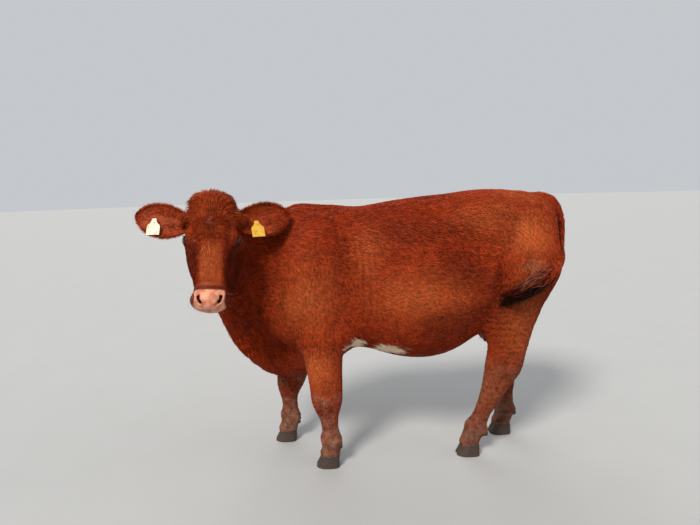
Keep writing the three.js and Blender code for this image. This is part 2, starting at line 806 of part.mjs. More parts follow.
function dewclawSolid(name, side) {
  const [x, y, z] = legs[name][legs[name].length - 2];
  const isFore = name.startsWith('fore');
  const bud = new THREE.SphereGeometry(dewclawRadius, 6, 5).scale(1.1, 0.9, 1.35);
  bud.translate(x + (isFore ? 46 : 50), y + side * 23, z - 26);
  return mainPiece(solidOf(bud).subtract(loftSolid(shankRings(name, cutGap))));
}

// ---------------------------------------------------------------- tail and udder

// the tail leaves the rump, hangs behind it, and its switch is swung over the left thigh
const tailLine = [
  [890, 0, 1262, 36],
  [950, 0, 1270, 36],
  [1008, -2, 1254, 34],
  [1040, -12, 1204, 33],
  [1050, -24, 1140, 33],
  [1046, -38, 1075, 33],
  [1032, -64, 1015, 34],
  [1000, -118, 968, 36],
  [944, -196, 936, 44],
  [872, -262, 906, 48],
  [795, -290, 870, 40],
  [672, -292, 822, 14],
];

function tailSolid(seats) {
  const stations = tailLine.map(([x, y, z, r]) => [x, y, z, r, r, r]);
  const front = new THREE.Vector3(0, -0.6, 0.8);
  return without(loftSolid(limbRings(stations, front, { steps: 1, sides: 10 })), seats);
}

function udderSolid(seats) {
  const bag = mass(new THREE.Vector3(715, 0, 662), [92, 70, 82]);
  const teats = [];
  for (const x of [672, 745]) {
    for (const side of bothSides) {
      teats.push(mass(new THREE.Vector3(x, side * 36, 580), [17, 17, 34]));
    }
  }
  const field = (point) => teats.reduce((distance, teat) => melt(distance, teat(point), 24), bag(point));
  const solid = solidOf(facet(field, boxOf([600, -90, 520], [830, 90, 770]), udderGrid));
  return mainPiece(without(solid, seats));
}

// ---------------------------------------------------------------- materials

function material(colour, roughness) {
  return new THREE.MeshStandardMaterial({ color: colour, roughness, metalness: 0 });
}

function coat() {
  return material(0x7a2a16, 0.65);
}

function horn() {
  return material(0x33261f, 0.7);
}

function wetEye() {
  return material(0x120b08, 0.1);
}

// ---------------------------------------------------------------- the cow

function named(name, geometry, surface) {
  const mesh = new THREE.Mesh(geometry, surface);
  mesh.name = name;
  return mesh;
}

function fleshSolids() {
  const solids = { trunk: trunkSolid(), neck: neckSolid(), head: headSolid() };
  for (const name of legNames) {
    solids[`leg_${name}_upper`] = upperLegSolid(name);
    solids[`leg_${name}_lower`] = lowerLegSolid(name);
  }
  return solids;
}

function addFlesh(group, solids) {
  for (const [name, solid] of Object.entries(solids)) {
    group.add(named(name, geometryOf(solid), coat()));
  }
}

function addEyesAndEars(group) {
  const headSeat = seat(...headBox, headGrid);
  eyePlaces.forEach((place, i) => {
    const eye = named(i === 0 ? 'eye_right' : 'eye_left', eyeGeometry(eyeRadius), wetEye());
    eye.position.copy(place);
    group.add(eye);
  });
  for (const side of bothSides) {
    const name = side < 0 ? 'ear_right' : 'ear_left';
    group.add(named(name, geometryOf(earSolid(side, headSeat)), coat()));
  }
}

function addTags(group) {
  for (const [name, tag] of Object.entries(tagPlaces)) {
    const { place, basis, depth } = tagFrame(tag);
    const plate = named(`tag_${name}`, tagGeometry(), material(tag.colour, 0.45));
    const button = named(`tag_${name}_button`, buttonGeometry(depth), material(tag.colour, 0.45));
    for (const piece of [plate, button]) {
      piece.position.copy(place);
      piece.quaternion.setFromRotationMatrix(basis);
      group.add(piece);
    }
  }
}

function addFeet(group) {
  for (const name of legNames) {
    for (const side of bothSides) {
      const place = side < 0 ? 'a' : 'b';
      group.add(named(`claw_${name}_${place}`, geometryOf(clawSolid(name, side)), horn()));
      group.add(named(`dewclaw_${name}_${place}`, geometryOf(dewclawSolid(name, side)), horn()));
    }
  }
}

function addTailAndUdder(group, solids) {
  const rumpSeat = seat([700, -420, 680], [1150, 420, 1420], bodyGrid);
  const tail = tailSolid([rumpSeat, solids.trunk, solids.leg_hind_left_upper]);
  const hanging = tail.intersect(halfSpace(opposite(dockCut)));
  const lengths = {
    tail_dock: tail.intersect(halfSpace(dockCut)),
    tail_middle: hanging.intersect(halfSpace(switchCut)),
    tail_switch: hanging.intersect(halfSpace(opposite(switchCut))),
  };
  for (const [name, solid] of Object.entries(lengths)) {
    group.add(named(name, geometryOf(mainPiece(solid)), coat()));
  }
  const underSeat = seat([500, -300, 400], [960, 300, 900], bodyGrid);
  const udder = udderSolid([underSeat, solids.leg_hind_left_upper, solids.leg_hind_right_upper]);
  group.add(named('udder', geometryOf(udder), coat()));
}

const cow = new THREE.Group();
const bodyParts = fleshSolids();
addFlesh(cow, bodyParts);
addEyesAndEars(cow);
addTags(cow);
addFeet(cow);
addTailAndUdder(cow, bodyParts);

// the origin stands on the floor under the middle of the whole cow
const extent = new THREE.Box3().setFromObject(cow);
const middle = extent.getCenter(new THREE.Vector3());
cow.position.set(-middle.x, -middle.y, 0);

export default cow;
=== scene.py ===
import math
import time

import bpy
import numpy as np
from mathutils import Matrix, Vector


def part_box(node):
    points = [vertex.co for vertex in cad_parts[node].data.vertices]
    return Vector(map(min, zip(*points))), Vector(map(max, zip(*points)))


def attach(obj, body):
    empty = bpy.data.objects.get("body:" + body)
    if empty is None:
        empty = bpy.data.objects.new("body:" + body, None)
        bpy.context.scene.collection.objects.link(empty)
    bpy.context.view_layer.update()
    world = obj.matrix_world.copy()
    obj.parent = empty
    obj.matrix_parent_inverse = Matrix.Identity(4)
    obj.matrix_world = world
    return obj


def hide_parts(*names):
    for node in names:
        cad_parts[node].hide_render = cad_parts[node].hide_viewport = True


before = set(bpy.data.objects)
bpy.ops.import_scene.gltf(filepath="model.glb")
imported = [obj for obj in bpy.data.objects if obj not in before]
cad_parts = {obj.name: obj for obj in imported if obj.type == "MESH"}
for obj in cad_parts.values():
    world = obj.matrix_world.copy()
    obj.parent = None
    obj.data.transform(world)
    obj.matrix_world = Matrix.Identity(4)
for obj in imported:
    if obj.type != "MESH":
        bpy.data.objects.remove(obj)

startTime = time.time()
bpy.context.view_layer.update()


def report(stage):
    # prints a stage with the seconds since the start
    print(f"{time.time() - startTime:6.1f} s  {stage}", flush=True)


# Shapes are worked out in millimetres, in the cow's own frame: the middle of its body is y = 0,
# its head end -x, its left side -y. toRow turns them into metres in the row frame.
mm = 0.001
bothSides = (-1, 1)  # the head's own right and left
up = np.array((0.0, 0.0, 1.0))
headPose = {"poll": (-589, -352, 1325), "turn": 7, "tip": 22, "roll": 3.7}  # degrees
eyeSize = {"down": 180, "out": -43, "left": 99, "radius": 20}


def unit(v):
    # each vector divided by its own length
    v = np.asarray(v, float)
    return v / np.maximum(np.linalg.norm(v, axis=-1, keepdims=True), 1e-9)


def headAxes():
    # down the face, out of it, and to the cow's left: level axes turned, tipped and rolled
    turn, tip, roll = (math.radians(headPose[k]) for k in ("turn", "tip", "roll"))
    facing = np.array((math.sin(turn), -math.cos(turn), 0))
    level = np.array((math.cos(turn), math.sin(turn), 0))
    headUp = up * math.cos(roll) + level * math.sin(roll)
    left = level * math.cos(roll) - up * math.sin(roll)
    down = facing * math.sin(tip) - headUp * math.cos(tip)
    out = facing * math.cos(tip) + headUp * math.sin(tip)
    return np.array((down, out, left))


faceAxes = headAxes()
downFace, outOfFace, headLeft = faceAxes
poll = np.array(headPose["poll"], float)


def inHead(down, out, left):
    # the place so far down the face from the poll, out of it and to the cow's left
    return poll + down * downFace + out * outOfFace + left * headLeft


def faceCoords(points):
    # how far each point lies down the face, out of it and to the left
    return (points - poll) @ faceAxes.T


def eyePlace(side):
    # the middle of the eye on one side
    return inHead(eyeSize["down"], eyeSize["out"], side * eyeSize["left"])


def nodeMiddle(node):
    # the middle of a node's box in the row frame, in metres
    return np.array(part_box(node)).mean(0)


rowShift = nodeMiddle("eye_left") - eyePlace(1) * mm
rowShift[2] = 0


def toRow(points):
    # millimetres in the cow's frame as metres in the row frame
    return np.asarray(points) * mm + rowShift


def smoothStep(value, start, end):
    # 0 before start, 1 after end, and 3t2 - 2t3 between
    t = np.clip((value - start) / (end - start), 0, 1)
    return t * t * (3 - 2 * t)


def bump(value, middle, width):
    # 1 at the middle and e**-1 one width away
    return np.exp(-(((value - middle) / width) ** 2))


def blob(points, centre, sizes):
    # a soft ellipsoid: 1 at its centre, e**-1 on its surface
    return np.exp(-(((points - np.array(centre)) / np.array(sizes)) ** 2).sum(1))


def grain(points, size, seed=0):
    # value noise from -1 to 1: a random number at each corner of a lattice, eased between them
    spot = points / size + seed * 17.31
    base = np.floor(spot)
    f = spot - base
    f = f * f * (3 - 2 * f)
    base = base.astype(np.int64)
    total = np.zeros(len(points))
    for corner in range(8):
        bits = np.array((corner & 1, corner >> 1 & 1, corner >> 2 & 1))
        i, j, k = (base + bits).T
        h = (i * 73856093 ^ j * 19349663 ^ k * 83492791 ^ seed * 2654435761) & 0xFFFFFFFF
        h = (h ^ (h >> 13)) * 1274126177 & 0xFFFFFFFF
        h = (h ^ (h >> 16)) & 0xFFFFFF
        share = np.where(bits, f, 1 - f).prod(1)
        total += share * (h / 0x7FFFFF - 1)
    return total


# The flesh field is made of signed distances, joined with fillets.


def between(a, b, c, d, t):
    # a Catmull-Rom point between b and c
    return b + 0.5 * t * (c - a + t * (2 * a - 5 * b + 4 * c - d + t * (3 * (b - c) + d - a)))


def smoothRows(rows, steps):
    # the rows with so many steps from each to the next, on a Catmull-Rom curve through them all
    rows = np.array(rows, float)
    ends = np.vstack((rows[:1], rows, rows[-1:]))
    t = np.arange(steps)[:, None] / steps
    parts = [between(*ends[i:i + 4], t) for i in range(len(rows) - 1)]
    return np.vstack(parts + [rows[-1:]])


def limb(stations, front, blend, steps=3, square=2.0):
    # A tube along a smooth line through stations (x, y, z, front, back, side): from the nearest
    # point of the line, the distance times 1 - 1 / reach, where reach is the superellipse's.
    rows = smoothRows(stations, steps)
    thick = rows[:, 3:].max()
    spans = []
    for start, end in zip(rows[:-1], rows[1:]):
        along = end[:3] - start[:3]
        axis = unit(along)
        face = unit(np.asarray(front, float) - axis * np.dot(front, axis))
        spans.append((start, end, along, axis, face, np.cross(axis, face)))

    def at(points):
        best = np.full(len(points), np.inf)
        share = np.zeros(len(points))
        which = np.zeros(len(points), np.int32)
        for i, (start, end, along, *_) in enumerate(spans):
            offset = points - start[:3]
            t = np.clip(offset @ along / (along @ along), 0, 1)
            gap = ((offset - t[:, None] * along) ** 2).sum(1)
            closer = gap < best
            best = np.where(closer, gap, best)
            share = np.where(closer, t, share)
            which[closer] = i
        starts = np.array([s[0] for s in spans])[which]
        ends = np.array([s[1] for s in spans])[which]
        axis = np.array([s[3] for s in spans])[which]
        face = np.array([s[4] for s in spans])[which]
        side = np.array([s[5] for s in spans])[which]
        here = starts + (ends - starts) * share[:, None]
        offset = points - here[:, :3]
        ahead = (offset * face).sum(1)
        half = np.where(ahead > 0, here[:, 3], here[:, 4])
        reach = (
            (np.abs(ahead) / half) ** square
            + (np.abs((offset * side).sum(1)) / here[:, 5]) ** square
            + (np.abs((offset * axis).sum(1)) / np.minimum(here[:, 3], here[:, 5])) ** square
        )
        return np.sqrt(best) * (1 - np.maximum(reach, 1e-9) ** (-1 / square))

    reach = thick + blend + 70
    return {"at": at, "low": rows[:, :3].min(0) - reach, "high": rows[:, :3].max(0) + reach, "blend": blend}


def mass(centre, sizes, blend, axes=None):
    # an ellipsoid: distance from its centre times 1 - 1 / reach
    centre, sizes = np.array(centre, float), np.array(sizes, float)
    axes = np.eye(3) if axes is None else np.asarray(axes)

    def at(points):
        offset = points - centre
        reach = np.linalg.norm(offset @ axes.T / sizes, axis=1)
        return np.linalg.norm(offset, axis=1) * (1 - 1 / np.maximum(reach, 1e-9))

    reach = sizes.max() + blend + 70
    return {"at": at, "low": centre - reach, "high": centre + reach, "blend": blend}


def melt(a, b, blend):
    # the lesser of two distances, with a fillet where they are close
    near = np.maximum(blend - np.abs(a - b), 0) / blend
    return np.minimum(a, b) - near * near * blend / 4


def trunkForms():
    # the barrel from its top, bottom and half width at places along it, with its muscles
    def row(x, top, bottom, half):
        level = 858 + 0.07 * (x + 350)
        return (x, 0, level, top - level, level - bottom, half)

    back = limb([
        row(-350, 1100, 560, 165), row(-240, 1249, 490, 222), row(-90, 1245, 535, 248),
        row(70, 1257, 572, 275), row(230, 1280, 560, 292), row(370, 1296, 545, 300),
        row(500, 1306, 575, 290), row(640, 1320, 655, 262), row(760, 1322, 720, 238),
        row(850, 1312, 780, 205),
    ], up, 1, square=2.2)
    forms = [back, mass((320, 0, 778), (330, 325, 280), 120)]
    for side in bothSides:
        forms += [
            mass((-205, side * 160, 950), (165, 92, 250), 90),
            mass((-235, side * 165, 745), (170, 88, 140), 80),
            mass((640, side * 170, 1208), (115, 62, 62), 150),
            mass((914, side * 90, 1150), (74, 64, 95), 110),
        ]
    return forms


def neckForms():
    # the neck as it bends to the cow's left, and the dewlap under it
    neck = limb([
        (-150, 0, 960, 275, 300, 190), (-315, -12, 985, 262, 350, 168), (-440, -50, 1012, 240, 330, 148),
        (-540, -130, 1062, 205, 255, 128), (-590, -235, 1115, 172, 190, 112),
        (-598, -330, 1150, 130, 150, 92),
    ], up, 130, square=2.1)
    dewlap = limb([
        (-600, -150, 900, 55, 60, 52), (-592, -85, 770, 52, 80, 52), (-556, -35, 660, 62, 100, 56),
        (-490, 0, 575, 80, 100, 72), (-385, 0, 535, 118, 110, 90), (-270, 0, 530, 125, 110, 88),
        (-120, 0, 585, 95, 100, 88),
    ], (-0.6, 0, -0.8), 90)
    return [neck, dewlap]


def headForms():
    # the skull from its front, back and half width down the face, with poll, muzzle, chin and cheeks
    rows = [
        (20, 58, 80, 90), (75, 76, 100, 101), (140, 88, 118, 100), (200, 86, 128, 97),
        (270, 80, 112, 89), (345, 66, 84, 76), (400, 58, 70, 69), (425, 56, 58, 67),
    ]
    skull = limb([(*inHead(d, -f, 0), f, b, h) for d, f, b, h in rows], outOfFace, 70, square=2.3)
    forms = [
        skull,
        mass(inHead(0, -52, -8), (42, 54, 82), 50, faceAxes),
        mass(inHead(436, -48, -1), (41, 54, 79), 30, faceAxes),
        mass(inHead(408, -104, 0), (48, 30, 47), 30, faceAxes),
    ]
    for side in bothSides:
        forms += [
            mass(inHead(176, -52, side * 84), (46, 34, 34), 36, faceAxes),
            mass(inHead(225, -130, side * 60), (110, 74, 38), 50, faceAxes),
            mass(inHead(88, -78, side * 92), (32, 34, 34), 36, faceAxes),
        ]
    return forms


# each leg's joints from the top down, and half thicknesses (place, front, back, side)
legJoints = {
    "fore_left": [(-148, -182, 640), (-137, -172, 335), (-126, -162, 132), (-134, -160, 60)],
    "fore_right": [(-205, 182, 640), (-330, 170, 330), (-342, 158, 132), (-358, 156, 60)],
    "hind_left": [(835, -125, 985), (768, -158, 665), (722, -148, 440), (598, -122, 140), (568, -116, 60)],
    "hind_right": [(835, 125, 985), (800, 158, 665), (838, 142, 445), (822, 118, 140), (800, 112, 60)],
}
legThickness = {
    "fore": [
        (0, 108, 105, 80), (0.33, 98, 92, 68), (0.67, 86, 82, 57), (1, 78, 76, 56), (1.22, 64, 60, 48),
        (1.42, 47, 46, 39), (1.7, 43, 43, 36), (2, 48, 52, 46), (2.5, 46, 50, 48), (3.0, 50, 53, 51),
    ],
    "hind": [
        (0, 150, 138, 112), (0.5, 172, 140, 120), (1, 124, 106, 86), (1.5, 100, 96, 64), (2, 90, 92, 52),
        (2.35, 62, 62, 44), (2.7, 42, 44, 37), (3, 50, 54, 46), (3.5, 48, 50, 48), (4.0, 51, 53, 51),
    ],
}


def legStations(name):
    # a leg's stations: each place, counted in joints, on a Catmull-Rom curve through its joints
    joints = np.array(legJoints[name], float)
    ends = np.vstack((joints[:1], joints, joints[-1:]))
    rows = []
    for place, *halves in legThickness[name[:4]]:
        i = min(int(place), len(joints) - 2)
        rows.append((*between(*ends[i:i + 4], place - i), *halves))
    return rows


def legForms():
    # a tube for each leg, the hind ones melting further into the trunk
    return [
        limb(legStations(name), (-1, 0, 0), 60 if name.startswith("fore") else 110, steps=2)
        for name in legJoints
    ]


tailLine = [
    (890, 0, 1262, 36), (950, 0, 1270, 36), (1008, -2, 1254, 34), (1040, -12, 1204, 33),
    (1050, -24, 1140, 33), (1046, -38, 1075, 33), (1032, -64, 1015, 34), (1000, -118, 968, 36),
    (944, -196, 936, 44), (872, -262, 906, 48), (795, -290, 870, 40), (672, -292, 822, 14),
]


def tailForm():
    # the dock and the fleshy part, thinner than the solids by the tail's own coat
    rows = [(x, y, z, r - 8, r - 8, r - 10) for x, y, z, r in tailLine[:7]]
    rows += [(1010, -126, 972, 27, 27, 25), (958, -206, 938, 20, 20, 20)]
    return limb(rows, (0, -0.6, 0.8), 12, steps=2)


def udderForms():
    # a low ball and four teats
    forms = [mass((715, 0, 662), (92, 66, 78), 40)]
    for x in (672, 745):
        for side in bothSides:
            forms.append(mass((x, side * 34, 584), (13, 13, 30), 22))
    return forms


bodyForms = trunkForms() + neckForms() + headForms() + legForms()
hangingForms = [tailForm()] + udderForms()


def joined(forms, points, total):
    # melts each form into the total, near that form only
    for form in forms:
        near = np.flatnonzero(np.all((points > form["low"]) & (points < form["high"]), axis=1))
        if len(near):
            total[near] = melt(total[near], form["at"](points[near]), form["blend"])
    return total


def headShare(points):
    # 0 on the neck and 1 on the head, eased across the throat
    ahead = (points - (-602, -250, 1100)) @ unit((0.12, -0.985, 0.09))
    return smoothStep(ahead, -30, 50) * smoothStep(-points[:, 0], 300, 370)


coat = {"body": 5.5, "neck": 9, "poll": 13, "forehead": 8, "face": 3, "muzzle": 0.5, "leg": 4.5, "foot": 3}


def coatDepth(points):
    # how far the skin lies inside the solids, blended from one region to the next
    x, y, z = points.T
    down, out, left = faceCoords(points).T
    depth = np.full(len(points), float(coat["body"]))
    depth += (coat["neck"] - coat["body"]) * smoothStep(-x, 260, 420) * smoothStep(z, 420, 560)
    depth += (coat["leg"] - coat["body"]) * smoothStep(-z, -620, -480)
    depth += (coat["foot"] - coat["leg"]) * smoothStep(-z, -300, -120)
    face = coat["poll"] + (coat["forehead"] - coat["poll"]) * smoothStep(down, 20, 90)
    face += (coat["face"] - coat["forehead"]) * smoothStep(down, 120, 220)
    face += (coat["muzzle"] - coat["face"]) * smoothStep(down, 375, 400)
    return depth + (face - depth) * headShare(points)


# What the skin adds to the field: lids, nostrils, mouth, folds and tendons.


def eyeAxes(side):
    # where an eye looks, along its slit from the inner corner to the outer, and across it
    gaze = unit(headLeft * side * 0.80 + outOfFace * 0.60 + downFace * 0.02)
    slit = unit(-downFace * 0.76 - outOfFace * 0.36 + headLeft * side * 0.52)
    slit = unit(slit - gaze * np.dot(slit, gaze))
    return np.array((gaze, slit, np.cross(gaze, slit)))


lids = {"halfLength": 20.5, "halfOpening": 12.4, "thickness": 3.2, "depth": 7}


def almond(points, side):
    # how far ahead of the eye's centre, and the distance from an almond whose opening closes as a
    # parabola towards its corners
    ahead, along, across = ((points - eyePlace(side)) @ eyeAxes(side).T).T
    opening = lids["halfOpening"] * (1 - (along / lids["halfLength"]) ** 2)
    return ahead, np.abs(across) - opening


def eyelids(points, total):
    # A ball over the eye melts into the face with a raised rim along the almond, and the almond is
    # carved out of it so far that the eyeball shows.
    for side in bothSides:
        centre = eyePlace(side)
        near = np.flatnonzero(((points - centre) ** 2).sum(1) < 70 ** 2)
        if not len(near):
            continue
        spot = points[near]
        away = np.linalg.norm(spot - centre, axis=1)
        ahead, edge = almond(spot, side)
        ball = away - (eyeSize["radius"] + lids["thickness"])
        rim = away - (eyeSize["radius"] + lids["thickness"] + 1.6) + 1.1 * np.maximum(np.abs(edge) - 2.5, 0)
        value = melt(melt(total[near], ball, 14), rim, 3)
        pocket = np.maximum(edge, lids["depth"] - ahead)
        total[near] = -melt(-value, pocket, 2.5)
    return total


def tube(rows, blend):
    # a thin tube through places in the head's own frame (down, out, left, radius)
    stations = [(*inHead(d, o, s), r, r, r) for d, o, s, r in rows]
    return limb(stations, outOfFace, blend, steps=3)


def lidCrease(side):
    # the fold over the upper lid, along a ball just outside it
    gaze, slit, across = eyeAxes(side)
    rows = []
    for b in (-22, -12, 0, 12, 22):
        c = 15.5 * (1 - (b / 30) ** 2)
        a = math.sqrt(26 ** 2 - b * b - c * c)
        rows.append((*(eyePlace(side) + a * gaze + b * slit + c * side * across), 2, 2, 2))
    return limb(rows, outOfFace, 5)


def faceDetails():
    # what stands out of the face, and what is carved into it
    added, carved = [], []
    for side in bothSides:
        gaze, slit, across = eyeAxes(side)
        corner = [eyePlace(side) + a * gaze - b * slit for a, b in ((17, 17), (16, 23), (17, 31))]
        carved.append(limb([(*place, r, r, r) for place, r in zip(corner, (3.6, 3.2, 1.6))], outOfFace, 4))
        carved.append(lidCrease(side))
        added += [
            # the brow over the eye, the ridge below it and the wings of the nostrils
            tube([
                (140, -30, side * 84, 8), (152, -18, side * 90, 11),
                (172, -14, side * 93, 10), (196, -20, side * 88, 6),
            ], 22),
            tube([(232, -66, side * 88, 6), (270, -72, side * 82, 9), (320, -62, side * 70, 7)], 26),
            tube([(418, -12, side * 58, 10), (436, -8, side * 50, 9), (458, -12, side * 34, 7)], 12),
            tube([(434, -50, side * 66, 10), (452, -58, side * 58, 10), (466, -62, side * 44, 8)], 14),
        ]
        carved += [
            # nostril: a comma, widest and deepest at its upper outer end
            tube([
                (425, -3, side * 42, 4.5), (432, -5, side * 46, 6.8), (443, -4, side * 41, 6.4),
                (453, -4, side * 32, 5.2), (462, -7, side * 23, 3.2),
            ], 4),
            tube([(431, -6, side * 45, 6.4), (428, -22, side * 42, 7.5), (420, -44, side * 36, 6)], 4),
            tube([(449, -5, side * 36, 5.4), (445, -18, side * 36, 6), (432, -34, side * 38, 5)], 4),
            # the hollows over the eye, before the ear, along the nose and beside the muzzle
            mass(inHead(120, -52, side * 112), (22, 26, 16), 26, faceAxes),
            mass(inHead(245, -42, side * 98), (44, 14, 22), 26, faceAxes),
            mass(inHead(330, -32, side * 82), (44, 12, 20), 26, faceAxes),
        ]
    carved.append(tube([(479, -26, -1, 1.4), (481, -42, -1, 2.4), (478, -60, -1, 2.6)], 4))
    return added, carved


def bodyDetails():
    # forms for both sides and every leg, and one that fills the rump in under the tail
    added, carved = [mass((962, -14, 1120), (58, 46, 105), 60)], []
    for side in bothSides:
        beside = -108 if side < 0 else 78  # where the groove beside the tail lies
        added += [
            # shoulder blade, point of the shoulder, elbow, ribs' edge, hook, thigh muscle
            limb([
                (-120, side * 178, 1170, 20, 20, 18), (-180, side * 212, 1000, 26, 26, 20),
                (-262, side * 226, 800, 22, 22, 18),
            ], (0, side, 0), 60),
            mass((-285, side * 190, 760), (62, 46, 66), 70),
            mass((-62, side * 196, 640), (44, 34, 40), 60),
            mass((655, side * 205, 1216), (46, 34, 32), 60),
            limb([
                (700, side * 200, 1120, 20, 20, 16), (650, side * 236, 960, 26, 26, 18),
                (622, side * 232, 830, 22, 22, 14),
            ], (0, side, 0), 70),
        ]
        carved += [
            # between the rump and the tail
            limb([
                (1040, beside, 1228, 24, 24, 20), (1042, beside + 6 * side, 1150, 42, 42, 34),
                (1042, beside + 16 * side, 1080, 38, 38, 30), (1040, beside + 42 * side, 1030, 18, 18, 14),
            ], (0, side, 0), 26),
            # behind the shoulder, the hollow of the flank, the groove before the pin bone
            limb([
                (-20, side * 262, 1080, 14, 14, 12), (10, side * 300, 900, 16, 16, 14),
                (0, side * 292, 720, 14, 14, 12),
            ], (0, side, 0), 60),
            mass((565, side * 300, 1120), (70, 30, 80), 70),
            limb([
                (860, side * 236, 1130, 12, 12, 12), (850, side * 262, 960, 14, 14, 12),
                (800, side * 252, 820, 10, 10, 10),
            ], (0, side, 0), 50),
        ]
    for name, joints in legJoints.items():
        side = -1 if name.endswith("left") else 1
        fore = name.startswith("fore")
        top, low = (np.array(j, float) for j in joints[-3:-1])
        start, end = top + (low - top) * (0.22 if fore else 0.12), top + (low - top) * 0.9
        for out in bothSides:
            # the groove between the cannon bone and the tendons behind it
            rows = [(p[0] + 12, p[1] + out * 41, p[2], 8, 8, 6) for p in (start, (start + end) / 2, end)]
            carved.append(limb(rows, (-1, 0, 0), 14))
        if fore:
            added.append(mass(top + (-26, 0, 8), (34, 44, 46), 30))
        else:
            added.append(mass(joints[2] + np.array((62, 0, 26)), (26, 20, 40), 34))
            for out in bothSides:
                carved.append(mass(joints[2] + np.array((30, out * 62, 40)), (22, 12, 50), 30))
        added.append(mass(low + (-8, 0, 6), (38, 42, 30), 26))
        for out in bothSides:
            # the pad that each dewclaw grows from
            added.append(mass(low + ((32 if fore else 36), out * 21, -14), (20, 16, 25), 20))
    return added, carved


addedForms, carvedForms = (a + b for a, b in zip(faceDetails(), bodyDetails()))


def ripple(points):
    # fine upright folds behind the shoulder and down the neck, in millimetres
    x, y, z = points.T
    wave = np.sin((x + 26 * grain(points, 170, 3)) * 2 * math.pi / 30)
    folds = bump(x, 48, 62) * smoothStep(z, 700, 820) * smoothStep(-z, -1180, -1040)
    throat = np.sin((x * 0.6 - y * 0.8 + 30 * grain(points, 150, 5)) * 2 * math.pi / 44)
    return 1.6 * wave * folds + 1.8 * throat * bump(x, -500, 130) * smoothStep(-z, -1120, -900)


def mouthCut(points, total):
    # a groove 6 mm deep where the skin crosses the plane between the lips
    down, out, left = faceCoords(points).T
    lips = np.abs((down - 478) * -0.38 + (out + 62) * 0.92 + 0.05 * np.abs(left)) - 1.5
    slot = np.maximum(np.maximum(lips, -total - 6), np.maximum(376 - down, out + 50))
    return -melt(-total, slot, 3)


def skinField(points):
    # the solids' own field, drawn in by the coat's depth, with the details added and carved
    total = joined(bodyForms, points, np.full(len(points), 1e6))
    total = joined(hangingForms, points, total + coatDepth(points))
    total = joined(addedForms, points, total)
    total = mouthCut(points, eyelids(points, total))
    total = -joined(carvedForms, points, -total)
    return total - ripple(points)


# the skin's mesh: cells in millimetres, and where they grow from fine to coarse
skinMesh = {
    "cell": 14.8, "fine": 0.28, "fineTo": 640, "coarseFrom": 1150,
    "middle": inHead(262, -50, 0), "coarse": 4, "near": 62, "margin": 12, "batch": 400000,
}


def warp(q):
    # A lattice point drawn towards the middle of the face: its distance g(r) from there has a slope
    # of `fine` near the face, easing to 1 further out, so that cells are small on the head.
    r = np.linalg.norm(q, axis=-1)
    steps = np.linspace(0, 4000, 801)
    eased = smoothStep(steps, skinMesh["fineTo"], skinMesh["coarseFrom"])
    slope = skinMesh["fine"] + (1 - skinMesh["fine"]) * eased
    g = np.concatenate(((0,), np.cumsum((slope[1:] + slope[:-1]) / 2 * np.diff(steps))))
    share = np.interp(r, steps, g) / np.maximum(r, 1e-6)
    share = np.where(r < 1e-6, skinMesh["fine"], share)
    return skinMesh["middle"] + q * share[..., None]


def latticeBox():
    # how far the lattice has to run each way for the warped lattice to hold the whole cow
    steps = np.arange(0, 4000, 25.0)
    reach = np.linalg.norm(warp(steps[:, None] * np.array((1.0, 0, 0))) - skinMesh["middle"], axis=1)
    corners = np.array([(x, y, z) for x in (-960, 1110) for y in (-540, 370) for z in (30, 1370)], float)
    away = np.linalg.norm(corners - skinMesh["middle"], axis=1)
    faces = []
    for axis in range(3):
        for edge in (corners[:, axis].min(), corners[:, axis].max()):
            gap = edge - skinMesh["middle"][axis]
            worst = 0
            for other in np.linspace(abs(gap), away.max(), 12):
                worst = max(worst, abs(gap) * np.interp(other, reach, steps) / max(other, 1))
            faces.append(math.copysign(worst + 60, gap))
    return np.array(faces).reshape(3, 2)


def netCells(inside, value, origin, cell):
    # Surface nets: a vertex in each cell that the surface crosses, at the mean of its crossings,
    # and a face round each lattice edge that it crosses.
    shape = np.array(inside.shape)
    cells = np.full(shape, -1, np.int32)
    crossed = []
    active = np.zeros(shape, bool)
    for axis in range(3):
        a = [slice(0, -1) if i == axis else slice(1, -1) for i in range(3)]
        b = [slice(1, None) if i == axis else slice(1, -1) for i in range(3)]
        spot = np.argwhere(inside[tuple(a)] != inside[tuple(b)]) + [0 if i == axis else 1 for i in range(3)]
        others = [i for i in range(3) if i != axis]
        ring = []
        for back, below in ((0, 0), (1, 0), (1, 1), (0, 1)):
            cellAt = spot.copy()
            cellAt[:, others[0]] -= back
            cellAt[:, others[1]] -= below
            active[tuple(cellAt.T)] = True
            ring.append(cellAt)
        crossed.append((axis, spot, ring))
    index = np.flatnonzero(active.ravel())
    cells.ravel()[index] = np.arange(len(index))
    total, count = np.zeros((len(index), 3)), np.zeros(len(index))
    faces = []
    for axis, spot, ring in crossed:
        step = np.eye(3, dtype=int)[axis]
        low, high = value[tuple(spot.T)], value[tuple((spot + step).T)]
        place = spot + step * (low / (low - high))[:, None]
        corners = np.stack([cells[tuple(r.T)] for r in ring], axis=1)
        for column in corners.T:
            for i in range(3):
                total[:, i] += np.bincount(column, place[:, i], len(index))
            count += np.bincount(column, minlength=len(index))
        turned = inside[tuple(spot.T)] ^ (axis == 1)
        faces.append(np.where(turned[:, None], corners, corners[:, ::-1]))
    return origin + total / count[:, None] * cell, np.vstack(faces)


def slopeOf(field, points, here, reach=0.6):
    # the field's gradient by forward differences
    return np.stack([(field(points + reach * np.eye(3)[i]) - here) / reach for i in range(3)], axis=1)


def cornerNormals(points, faces):
    # each point's normal: the sum of the crossed diagonals of the faces that meet there
    across = np.cross(points[faces[:, 2]] - points[faces[:, 0]], points[faces[:, 3]] - points[faces[:, 1]])
    total = np.zeros((len(points), 3))
    for column in faces.T:
        for i in range(3):
            total[:, i] += np.bincount(column, across[:, i], len(points))
    return unit(total)


